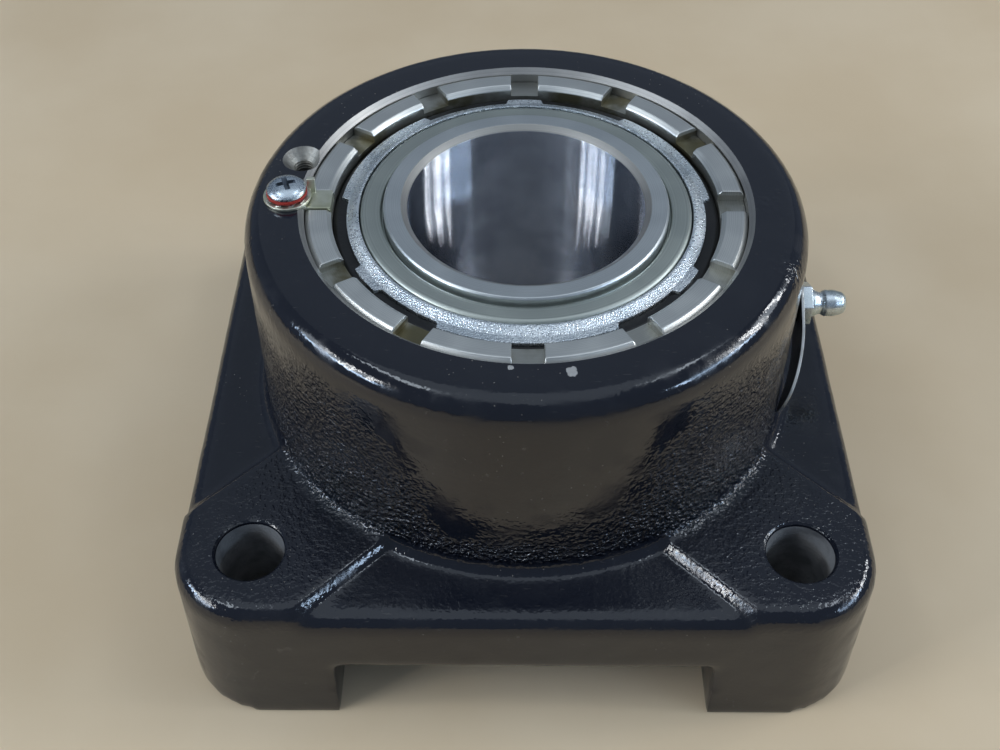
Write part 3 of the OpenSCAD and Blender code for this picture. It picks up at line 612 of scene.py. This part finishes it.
# %% [markdown]
# Machining comes after casting, as in the shop. The stepped bore, the bolt holes, the tapped holes of the nut lock
# and the grease passage are cut out with crisp lathe-turned cutters. The cutters carry the numbers of their own
# material slots, so the cut surfaces come out as bare iron while the skin stays enamel.

# %% Machined bore and holes
ENAMEL, TURNED, DRILLED = range(3)
THREAD_R = NUT_R + 0.15
MOUTH = 1.4
SHOULDER = low_of("lower_cup").z
THREAD_FOOT = NUT_FOOT - 1.4


def number_slots(piece, number, finishes):
    """Give the piece the finishes and let all its faces use the one with this number."""
    for finish in finishes:
        piece.data.materials.append(finish)
    for face in piece.data.polygons:
        face.material_index = number
    return piece


def number_faces(piece, number):
    return number_slots(piece, number, (black_enamel, bare_iron, drilled_iron))


number_faces(casting, ENAMEL)
bore_outline = [
    (0.0, RELIEF_TOP - 3), (SEAT_R, RELIEF_TOP - 3), (SEAT_R, SHOULDER), (CUP_R + 0.05, SHOULDER),
    (CUP_R + 0.05, THREAD_FOOT), (THREAD_R, THREAD_FOOT), (THREAD_R, HOUSING_TOP - MOUTH),
    (THREAD_R + MOUTH + 2, HOUSING_TOP + 2), (0.0, HOUSING_TOP + 2),
]
cut(casting, number_faces(lathe("bore_cutter", bore_outline, 256), TURNED))
hole_outline = [
    (0.0, -1.0), (BOLT_R, -1.0), (BOLT_R, BOSS_TOP - 0.9), (BOLT_R + 0.25, BOSS_TOP - 0.35),
    (BOLT_R + 1.4, BOSS_TOP + 0.4), (BOLT_R + 1.4, BOSS_TOP + 3), (0.0, BOSS_TOP + 3),
]
TAP_R, SINK_R, TAP_DEPTH = 2.55, 5.25, 12.0
tap_foot = HOUSING_TOP - TAP_DEPTH
spare_outline = [
    (0.0, tap_foot), (TAP_R, tap_foot), (TAP_R, HOUSING_TOP - SINK_R + TAP_R), (SINK_R, HOUSING_TOP),
    (SINK_R + 2, HOUSING_TOP + 2), (0.0, HOUSING_TOP + 2),
]
tools = []
for x, y in corners:
    tools.append(lathe("bolt_drill", hole_outline, 64))
    tools[-1].data.transform(Matrix.Translation((x * MM, y * MM, 0.0)))
tools.append(rod("lock_tap", TAP_R, tap_foot, HOUSING_TOP + 2, *lock_places[0], 32))
tools.append(lathe("spare_tap", spare_outline, 32))
tools[-1].data.transform(Matrix.Translation((lock_places[1][0] * MM, lock_places[1][1] * MM, 0.0)))
cut(casting, number_faces(join("drills", *tools), DRILLED))
shank_end = GREASE_FACE - SHANK_DEPTH
grease_outline = [
    (0.0, SEAT_R), (2.0, SEAT_R), (2.0, shank_end), (4.05, shank_end), (4.05, GREASE_FACE + 2), (0.0, GREASE_FACE + 2),
]
cut(casting, number_faces(lay_along_x(lathe("grease_drill", grease_outline, 32)), DRILLED))
for face in casting.data.polygons:
    on_flare = face.material_index == DRILLED and abs(face.normal.z) > 0.3 and face.center.z < (BOSS_TOP + 1) * MM
    if on_flare:
        face.material_index = ENAMEL
shade(casting, 32)
dress(casting, None, "housing", "black_enamel", "housing")

# %% [markdown]
# ## Repeating round the axis
# The adjusting nut is one slot and half a land on either side, twelve times over, and the toothed washer is one tooth
# ten times over. A Geometry Nodes tree takes such a share, sets copies round the axis, joins them where they meet
# and gives them their material. Typing the copies out would work, but the tree keeps the count as one named input.

# %% A tree that repeats a share round the axis
def repeat_tree():
    tree = bpy.data.node_groups.new("repeat_round_axis", "GeometryNodeTree")
    face = tree.interface
    face.new_socket("Geometry", in_out="INPUT", socket_type="NodeSocketGeometry")
    count = face.new_socket("Copies", in_out="INPUT", socket_type="NodeSocketInt")
    finish = face.new_socket("Finish", in_out="INPUT", socket_type="NodeSocketMaterial")
    face.new_socket("Geometry", in_out="OUTPUT", socket_type="NodeSocketGeometry")
    given = tree.nodes.new("NodeGroupInput").outputs
    points = place(tree, "GeometryNodePoints", Count=given["Copies"])
    index = tree.nodes.new("GeometryNodeInputIndex").outputs[0]
    turn = maths(tree, "DIVIDE", maths(tree, "MULTIPLY", index, math.tau), given["Copies"])
    spin = place(tree, "FunctionNodeAxisAngleToRotation", Angle=turn)
    copies = place(tree, "GeometryNodeInstanceOnPoints", Points=points.outputs[0], Instance=given["Geometry"])
    plug(tree, copies.inputs["Rotation"], spin.outputs[0])
    whole = place(tree, "GeometryNodeRealizeInstances", Geometry=copies.outputs[0])
    closed = place(tree, "GeometryNodeMergeByDistance", Geometry=whole.outputs[0], Distance=2e-6)
    dressed = place(tree, "GeometryNodeSetMaterial", Geometry=closed.outputs[0], Material=given["Finish"])
    plug(tree, tree.nodes.new("NodeGroupOutput").inputs[0], dressed.outputs[0])
    return tree, count.identifier, finish.identifier


round_tree, COPIES, FINISH = repeat_tree()


def repeat_round(share, copies, finish):
    modifier = share.modifiers.new("round_axis", "NODES")
    modifier.node_group = round_tree
    modifier[COPIES] = copies
    modifier[FINISH] = finish
    bake(share)
    clean(share.data, 1e-6)
    return share


print("tree", round_tree.name)

# %% [markdown]
# ## The adjusting nut
# One share of the nut is swept from its outline. Beside the slot the sweep follows the slot's straight sides, so each
# point turns by its own angle, and over the slot the outline is cut down to the slot's floor. A step just outside the
# slot drops by the edge's width, which breaks the slot's edges as a file would.

# %% One share of the nut, twelve times
SLOTS = 12
SLOT_HALF = 3.75
SLOT_FLOOR = NUT_TOP - 3.0
EDGE = 0.4
NUT_CHAMFER = 1.1
nut_outline = round_corners([
    (SEAT_R, NUT_FOOT), (NUT_R - NUT_CHAMFER, NUT_FOOT), (NUT_R, NUT_FOOT + NUT_CHAMFER),
    (NUT_R, NUT_TOP - NUT_CHAMFER), (NUT_R - NUT_CHAMFER, NUT_TOP),
    (SEAT_R + NUT_CHAMFER, NUT_TOP), (SEAT_R, NUT_TOP - NUT_CHAMFER),
], 0.25)
HALF_SHARE = 180 / SLOTS


def nut_station(station):
    """A station is (angle, distance from the slot's middle or None, height that the outline is cut down to)."""
    angle, across, ceiling = nut_stations[station]
    if across is None:
        return [(r, min(z, ceiling), math.radians(angle - station)) for r, z in nut_outline]
    return [(r, min(z, ceiling), math.asin(across / r) - math.radians(station)) for r, z in nut_outline]


lands = [HALF_SHARE * (1 - i / 9) for i in range(6)]
right = [(-a, None, NUT_TOP) for a in lands]
right += [(0, -SLOT_HALF - EDGE, NUT_TOP), (0, -SLOT_HALF - EDGE * 0.3, NUT_TOP - EDGE * 0.3)]
right += [(0, -SLOT_HALF, NUT_TOP - EDGE), (0, -SLOT_HALF, SLOT_FLOOR), (0, -SLOT_HALF / 2, SLOT_FLOOR)]
left = [(-a, None if w is None else -w, ceiling) for a, w, ceiling in reversed(right)]
nut_stations = dict(enumerate(right + [(0, 0.0, SLOT_FLOOR)] + left))
nut_share = sweep("adjusting_nut_turned", nut_station, list(nut_stations), closed=False)
nut = shade(repeat_round(nut_share, SLOTS, satin_nut), 38)
dress(nut, None, "housing", "nut_steel", "adjusting_nut")

# %% [markdown]
# ## Seals, retainers and flingers
# Beside the nut comes a black rubber seal, then a bright pressed ring whose outer edge steps out in lugs and whose
# inner edge stands higher, and next to the shaft a grey flinger with rounded shoulders. The lower set is the
# upper one turned over about the bearing's middle.

# %% Rubber seals and flingers
def turned_over(piece, name):
    """A copy of an upper piece for the lower side of the bearing."""
    mesh = piece.data.copy()
    mesh.name = name
    mesh.transform(Matrix.Translation((0, 0, 2 * MIDDLE * MM)) @ Matrix.Scale(-1, 4, (0, 0, 1)))
    mesh.flip_normals()
    return new_piece(name, mesh)


def pair(upper, material, body, slot, kind):
    lower = turned_over(upper, upper.name.replace("upper", "lower"))
    dress(shade(upper), material, body, slot, "upper_" + kind)
    dress(shade(lower), material, body, slot, "lower_" + kind)


SEAL_WALL = 4.0
seal_outline = round_corners([
    (SEAT_R - 0.05 - SEAL_WALL, SEAL_FOOT), (SEAT_R - 0.05, SEAL_FOOT), (SEAT_R - 0.05, SEAL_TOP - 0.6),
    (SEAT_R - 1.0, SEAL_TOP), (SEAT_R - SEAL_WALL, SEAL_TOP), (SEAT_R - 0.05 - SEAL_WALL, SEAL_FOOT + 2.1),
    (LAND_R + 0.2, SEAL_FOOT + 1.6), (LAND_R + 0.2, SEAL_FOOT + 0.4),
], 0.35)
pair(lathe("upper_seal_moulded", seal_outline), seal_rubber, "housing", "seal_rubber", "seal")
flinger_outline = round_corners([
    (LAND_R + 0.02, FLINGER_FOOT), (FLINGER_R, FLINGER_FOOT), (FLINGER_R, FLINGER_TOP - 0.7),
    (FLINGER_R - 0.8, FLINGER_TOP), (LAND_R + 1.1, FLINGER_TOP), (LAND_R + 0.7, FLINGER_TOP - 0.35),
    (LAND_R + 0.7, FLINGER_TOP - 1.6), (LAND_R + 0.02, FLINGER_TOP - 1.6),
], 0.4)
pair(lathe("upper_flinger_turned", flinger_outline), grey_flinger, "inner_ring", "flinger_steel", "flinger")

# %% Pressed retainers with lugs
LUGS = ((27, 270), (6, 326), (25, 30), (6, 90), (25, 150), (6, 214))
PLATE_R, LUG_R = 45.4, 47.2
RAMP = 0.8
LIP_TOP = FLINGER_TOP - 0.2
PLATE_FOOT = SEAL_TOP + 0.02
RETAINER_IN = FLINGER_R + 0.3
SKIRT_IN, SKIRT_OUT = SEAT_R - SEAL_WALL - 1.1, SEAT_R - SEAL_WALL - 0.1


def retainer_outline(angle):
    """The plate's section: out to a lug's reach or to the plain edge, with a short ramp between them."""
    inside = max(half - abs((angle - middle + 180) % 360 - 180) for half, middle in LUGS)
    share = max(0.0, min(1.0, inside / RAMP + 0.5))
    reach = PLATE_R + (LUG_R - PLATE_R) * share * share * (3 - 2 * share)
    plate = [
        (RETAINER_IN, PLATE_FOOT), (SKIRT_IN, PLATE_FOOT), (SKIRT_IN, SEAL_TOP - 4.0), (SKIRT_OUT, SEAL_TOP - 4.0),
        (SKIRT_OUT, PLATE_FOOT), (reach, PLATE_FOOT), (reach, RETAINER_TOP),
        (PLATE_R - 0.4, RETAINER_TOP), (RETAINER_IN + 0.7, LIP_TOP), (RETAINER_IN, LIP_TOP),
    ]
    return round_corners(plate, 0.2, 2)


half_degrees = [i / 2 for i in range(720)]
retainer = sweep("upper_seal_retainer_pressed", retainer_outline, half_degrees)
pair(retainer, retainer_zinc, "housing", "retainer_zinc", "seal_retainer")

# %% [markdown]
# ## The inner ring
# The shaft passes through this ring. Its end is ground flat, its bore is honed and the edge between them is only
# turned, so it takes three materials: faces that look at the axis from within the bore get the mirror finish. A copy
# of the solid with fine broken edges keeps the raceways and the two holes for the set screws.

# %% Ground ring with a honed bore
ring = soften_edges(merged_copy("inner_ring", "inner_ring_ground"), 0.18)
shade(ring, 30)
GROUND, HONED, BROKEN = range(3)
EDGE_REACH = 2.5
for finish in (ground_face, honed_bore, turned_edge):
    ring.data.materials.append(finish)
for face in ring.data.polygons:
    axis_gap = face.center.xy.length / MM
    face.material_index = GROUND
    if axis_gap < BORE_R + 0.05 and abs(face.normal.z) < 0.3:
        face.material_index = HONED
    elif axis_gap < BORE_R + EDGE_REACH and abs(face.normal.z) < 0.95:
        face.material_index = BROKEN
dress(ring, None, "inner_ring", "ring_steel", "inner_ring")

# %% [markdown]
# ## The nut lock
# A bent tab lies in one slot of the nut under a pan-head screw, with a red fibre washer and a toothed washer between.
# The tab is a copy of the solid with broken edges. The screw's head is turned and its cross recess cut out of it, and
# the recess's faces are painted darker, partly as grime and partly as painted shade inside the recess. The washer's
# teeth are twisted a little, as they are on the real one, so that each catches the light differently.

# %% Tab, washers and screw
tab = soften_edges(merged_copy("nut_lock_tab", "nut_lock_tab_bent"), 0.14)
dress(shade(tab), olive_chromate, "housing", "tab_chromate", "nut_lock_tab")


def at_lock(piece):
    piece.data.transform(Matrix.Translation((-LOCK_R * MM, 0.0, 0.0)))
    return piece


STAR_FOOT, STAR_TOP = low_of("toothed_washer").z, high_of("toothed_washer").z
TEETH = 10
TOOTH_HALF = 8.5
WASHER_IN, WASHER_OUT, TOOTH_OUT = 2.65, 4.2, 5.4


def tooth_outline(angle):
    on_tooth = max(0.0, min(1.0, (TOOTH_HALF - abs(angle)) / 1.5 + 0.5))
    reach = WASHER_OUT + (TOOTH_OUT - WASHER_OUT) * on_tooth
    twist = 0.14 * on_tooth * angle / TOOTH_HALF
    low, high = STAR_FOOT + 0.14, STAR_TOP - 0.14
    tip = [(reach, low + twist), (reach, high + twist)]
    return [(WASHER_IN, low), (WASHER_OUT, low), *tip, (WASHER_OUT, high), (WASHER_IN, high)]


tooth_angles = [-18 + 1.5 * i for i in range(25)]
star = repeat_round(sweep("toothed_washer_cut", tooth_outline, tooth_angles, closed=False), TEETH, white_zinc)
dress(at_lock(shade(star)), None, "housing", "plated_zinc", "toothed_washer")
FIBRE_FOOT, FIBRE_TOP = low_of("fibre_washer").z, high_of("fibre_washer").z
FIBRE_R = (high_of("fibre_washer").x - low_of("fibre_washer").x) / 2
fibre_outline = round_corners([
    (WASHER_IN, FIBRE_FOOT), (FIBRE_R, FIBRE_FOOT), (FIBRE_R, FIBRE_TOP), (WASHER_IN, FIBRE_TOP),
], 0.15)
fibre = at_lock(shade(lathe("fibre_washer_punched", fibre_outline, 64)))
dress(fibre, red_fibre, "housing", "red_fibre", "fibre_washer")

# %% Pan-head screw
HEAD_R = (high_of("nut_lock_screw").x - low_of("nut_lock_screw").x) / 2
HEAD_TOP, SCREW_FOOT = high_of("nut_lock_screw").z, low_of("nut_lock_screw").z
SHANK_R = 2.5
RECESS_REACH, RECESS_HALF, RECESS_DEPTH = 2.7, 0.75, 1.7
pan = [(0.0, HEAD_TOP), (1.8, HEAD_TOP - 0.07), (3.2, HEAD_TOP - 0.36), (4.3, HEAD_TOP - 0.95)]
pan.append((HEAD_R, HEAD_TOP - 1.6))
screw_outline = [(0.0, SCREW_FOOT), (SHANK_R - 0.5, SCREW_FOOT), (SHANK_R, SCREW_FOOT + 0.6), (SHANK_R, FIBRE_TOP)]
screw_outline += [(HEAD_R - 0.2, FIBRE_TOP), (HEAD_R, FIBRE_TOP + 0.2)] + pan[::-1]
screw = lathe("nut_lock_screw_turned", screw_outline, 64)
HEAD_FACE, RECESS = range(2)
BLADE_CORNERS = ((-1, -1), (1, -1), (1, 1), (-1, 1))
# The recess faces take the darker finish, partly grime and partly painted shade inside the recess.
screw_finishes = (bright_zinc, grime_and_shade_recess)
number_slots(screw, HEAD_FACE, screw_finishes)
for turn in (20, 110):
    blade = bpy.data.meshes.new("recess_blade")
    low, high = HEAD_TOP - RECESS_DEPTH, HEAD_TOP + 0.5
    corners_low = [(x * RECESS_REACH * 0.45, y * RECESS_HALF * 0.6, low) for x, y in BLADE_CORNERS]
    corners_high = [(x * RECESS_REACH * 1.15, y * RECESS_HALF, high) for x, y in BLADE_CORNERS]
    points = [Vector(p) * MM for p in corners_low + corners_high]
    blade.from_pydata(points, [], [(0, 1, 2, 3), (4, 5, 6, 7), (0, 1, 5, 4), (1, 2, 6, 5), (2, 3, 7, 6), (3, 0, 4, 7)])
    clean(blade)
    blade.transform(Matrix.Rotation(math.radians(turn), 4, "Z"))
    cutter = new_piece("recess_blade", blade)
    number_slots(cutter, RECESS, screw_finishes)
    cut(screw, cutter)
dress(at_lock(shade(screw, 30)), None, "housing", "plated_zinc", "nut_lock_screw")

# %% [markdown]
# ## Grease fitting and tag
# The fitting is turned, apart from its hexagon, and screws into the side of the barrel over a thin bent tag. Both the
# lathe form and the hexagon go into one mesh. The check ball and its spring stay as the solids have them.

# %% Fitting and tag
HEX_FOOT, TIP = GREASE_FACE + TAG_T, high_of("grease_fitting").x
HEX_TOP = HEX_FOOT + 2.6
HEX_R = 5.25 / math.cos(math.radians(30))
NECK, HEAD = HEX_TOP + 2.6, HEX_TOP + 4.0
DUCT_R, CHAMBER_R = 0.85, 1.3
SHANK_FOOT = low_of("grease_fitting").x
fitting_outline = round_corners([
    (DUCT_R, SHANK_FOOT), (4.0, SHANK_FOOT), (4.0, HEX_TOP - 0.1), (3.9, HEX_TOP), (3.75, HEX_TOP + 1.0), (3.0, NECK),
    (3.0, NECK + 0.6), (3.6, HEAD), (3.6, HEAD + 2.5), (3.05, TIP - 1.0), (2.2, TIP), (DUCT_R, TIP),
    (DUCT_R, TIP - 0.35), (CHAMBER_R, TIP - 0.35), (CHAMBER_R, HEX_TOP), (DUCT_R, HEX_TOP),
], 0.35)
fitting_body = lathe("fitting_body", fitting_outline, 64)
hexagon = lathe("fitting_hex", [(3.0, HEX_FOOT), (HEX_R, HEX_FOOT), (HEX_R, HEX_TOP), (3.0, HEX_TOP)], 6)
soften_edges(hexagon, 0.25)
fitting = lay_along_x(join("grease_fitting_turned", fitting_body, hexagon))
dress(shade(fitting, 34), fitting_zinc, "housing", "fitting_zinc", "grease_fitting")
tag = soften_edges(merged_copy("grease_tag", "grease_tag_bent"), 0.12)
dress(shade(tag), tag_metal, "housing", "tag_metal", "grease_tag")

# %% [markdown]
# ## Locking collar
# On the mounting side a collar grips the shaft with two socket set screws. Copies of the solids with broken edges are
# enough, in the dark finish of oxidised steel.

# %% Collar and set screws
collar = soften_edges(merged_copy("locking_collar", "locking_collar_turned"), 0.3)
dress(shade(collar), black_oxide, "inner_ring", "collar_black", "locking_collar")
screws = soften_edges(merged_copy("set_screws", "set_screws_socket"), 0.2)
dress(shade(screws), black_oxide, "inner_ring", "collar_black", "set_screws")

# %% [markdown]
# ## Pieces inside
# The outer rings, cages, rollers, ball and spring keep their solids, because almost nothing of them shows. Each still
# gets a finish of its own kind, since a pose or an exploded view can bring them out.

# %% Finishes of the inner pieces
INSIDE = {"cup": race_steel, "cage": pressed_cage, "ball": roller_steel, "spring": spring_wire}
shown = 0
for name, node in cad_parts.items():
    if node.hide_render:
        continue
    finish = roller_steel if "roller" in name else INSIDE[name.split("_")[-1]]
    node.data.materials.clear()
    node.data.materials.append(finish)
    shown += 1
print("solids kept", shown)

# %% [markdown]
# ## Thread of the spare hole
# Beside the lock is a second tapped hole with no screw in it. Its thread is a thin ridge that winds down the wall, so
# a Geometry Nodes tree draws a spiral and sweeps a small round section along it.

# %% A ridge that winds down the hole
def thread_tree():
    tree = bpy.data.node_groups.new("thread_ridge", "GeometryNodeTree")
    face = tree.interface
    face.new_socket("Geometry", in_out="INPUT", socket_type="NodeSocketGeometry")
    sockets = {}
    for key in ("Radius", "Length", "Turns", "Ridge"):
        sockets[key] = face.new_socket(key, in_out="INPUT", socket_type="NodeSocketFloat").identifier
    sockets["Finish"] = face.new_socket("Finish", in_out="INPUT", socket_type="NodeSocketMaterial").identifier
    face.new_socket("Geometry", in_out="OUTPUT", socket_type="NodeSocketGeometry")
    given = tree.nodes.new("NodeGroupInput").outputs
    spiral = place(tree, "GeometryNodeCurveSpiral", Resolution=24, Rotations=given["Turns"], Height=given["Length"])
    plug(tree, spiral.inputs["Start Radius"], given["Radius"])
    plug(tree, spiral.inputs["End Radius"], given["Radius"])
    section = place(tree, "GeometryNodeCurvePrimitiveCircle", Resolution=6, Radius=given["Ridge"])
    ridge = place(tree, "GeometryNodeCurveToMesh", Curve=spiral.outputs[0], Fill_Caps=True)
    plug(tree, ridge.inputs["Profile Curve"], section.outputs[0])
    whole = place(tree, "GeometryNodeRealizeInstances", Geometry=ridge.outputs[0])
    dressed = place(tree, "GeometryNodeSetMaterial", Geometry=whole.outputs[0], Material=given["Finish"])
    plug(tree, tree.nodes.new("NodeGroupOutput").inputs[0], dressed.outputs[0])
    return tree, sockets


ridge_tree, ridge_inputs = thread_tree()
thread = new_piece("spare_hole_thread", bpy.data.meshes.new("spare_hole_thread"))
winding = thread.modifiers.new("thread", "NODES")
winding.node_group = ridge_tree
THREAD_RUN = 8.0
for key, value in (("Radius", TAP_R * MM), ("Length", THREAD_RUN * MM), ("Turns", 10.0), ("Ridge", 0.3 * MM)):
    winding[ridge_inputs[key]] = value
winding[ridge_inputs["Finish"]] = drilled_iron
bake(thread)
thread_foot = HOUSING_TOP - SINK_R + TAP_R - THREAD_RUN - 0.4
thread.data.transform(Matrix.Translation((lock_places[1][0] * MM, lock_places[1][1] * MM, thread_foot * MM)))
clean(thread.data)
dress(shade(thread, 60), None, "housing", "black_enamel")

# %% [markdown]
# ## Floor, light and camera
# The unit stands on plain pale warm paper. Gloss black shows little but what it mirrors, so the light comes from panels
# on either side, which leave the front of the rim dark, and from dim panels above and behind that the flat metal faces
# mirror. Four thin strips on either side give the bright lines in the honed bore, and a low blue strip on either side
# lights the barrel. The camera has the photograph's angle, found by fitting the flange, the rim and the bolt holes.

# %% Floor and sky
FLOOR_SIZE = 6.0
floor_mesh = bpy.data.meshes.new("paper_floor")
half = FLOOR_SIZE / 2
floor_mesh.from_pydata([(-half, -half, 0), (half, -half, 0), (half, half, 0), (-half, half, 0)], [], [(0, 1, 2, 3)])
floor = new_piece("paper_floor", floor_mesh)
paper, tree, shader = new_finish("paper", Roughness=0.9)
fibres = grain(tree, object_place(tree), 9.0, 8.0)
plug(tree, shader.inputs["Base Color"], blend(tree, spread(tree, fibres, 0.3, 0.7), paint("#d2ba98"), paint("#dcc6a6")))
floor_mesh.materials.append(paper)
floor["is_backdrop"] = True

world = bpy.data.worlds.new("soft_sky")
bpy.context.scene.world = world
world.use_nodes = True
sky = world.node_tree.nodes["Background"]
sky.inputs["Color"].default_value = (0.64, 0.78, 1.0, 1.0)
sky.inputs["Strength"].default_value = 0.22
print("floor and sky made")


# %% Lamps
def strip_lamp(name, place_m, target_m, size, watts, colour=(1.0, 1.0, 1.0)):
    data = bpy.data.lights.new(name, "AREA")
    data.shape = "RECTANGLE"
    data.size, data.size_y = size
    data.energy = watts
    data.color = colour
    lamp = bpy.data.objects.new(name, data)
    bpy.context.scene.collection.objects.link(lamp)
    lamp.location = place_m
    lamp.rotation_euler = (Vector(target_m) - Vector(place_m)).to_track_quat("-Z", "Y").to_euler()
    return lamp


COOL = (0.8, 0.9, 1.0)
BLUE = (0.55, 0.74, 1.0)
MIDDLE_M = (0.0, 0.0, 0.07)
STRIP_AWAY, STRIP_UP = 0.8, 0.5
RIGHT_TURNS, LEFT_TURNS = (17, 5, 1, -9), (192, 201, 206, 214)
PANEL_TURNS = (4, 196)
STRIP_SIZE, STRIP_WATTS = (0.022, 0.25), 0.42


def round_about(turn, away, up):
    way = math.radians(turn)
    return (away * math.cos(way), away * math.sin(way), up)


for number, turn in enumerate(RIGHT_TURNS + LEFT_TURNS):
    strip_lamp(f"strip_{number}", round_about(turn, STRIP_AWAY, STRIP_UP), MIDDLE_M, STRIP_SIZE, STRIP_WATTS)
for turn in PANEL_TURNS:
    strip_lamp(f"panel_{turn}", round_about(turn, STRIP_AWAY, STRIP_UP), MIDDLE_M, (0.5, 0.22), 1.0, COOL)
    strip_lamp(f"high_panel_{turn}", round_about(turn, 0.6, 1.15), MIDDLE_M, (0.5, 0.14), 1.2, COOL)
for side in (-1, 1):
    strip_lamp(f"low_strip_{side}", (side * 0.85, -0.3, 0.42), MIDDLE_M, (0.6, 0.08), 2.3, BLUE)
strip_lamp("top_panel", (0.0, -0.1, 1.6), MIDDLE_M, (1.4, 1.4), 3.4, COOL)
strip_lamp("back_panel", (0.0, 1.4, 1.5), MIDDLE_M, (3.0, 1.8), 1.9, COOL)

# %% Camera
LENS = 45.32
CAMERA_PLACE = (-0.0053, -0.2465, 0.3037)
CAMERA_DOWN, CAMERA_TURN = 47.53, 0.3
camera_data = bpy.data.cameras.new("camera")
camera_data.lens = LENS
camera_data.sensor_width = 36.0
camera_data.clip_start, camera_data.clip_end = 0.01, 20.0
camera = bpy.data.objects.new("camera", camera_data)
bpy.context.scene.collection.objects.link(camera)
camera.location = CAMERA_PLACE
camera.rotation_euler = (math.radians(90 - CAMERA_DOWN), 0.0, math.radians(CAMERA_TURN))
bpy.context.scene.camera = camera
bpy.context.scene.view_settings.view_transform = "Standard"
print("camera at", CAMERA_PLACE)

# %% Bounds of the scene
low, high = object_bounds()
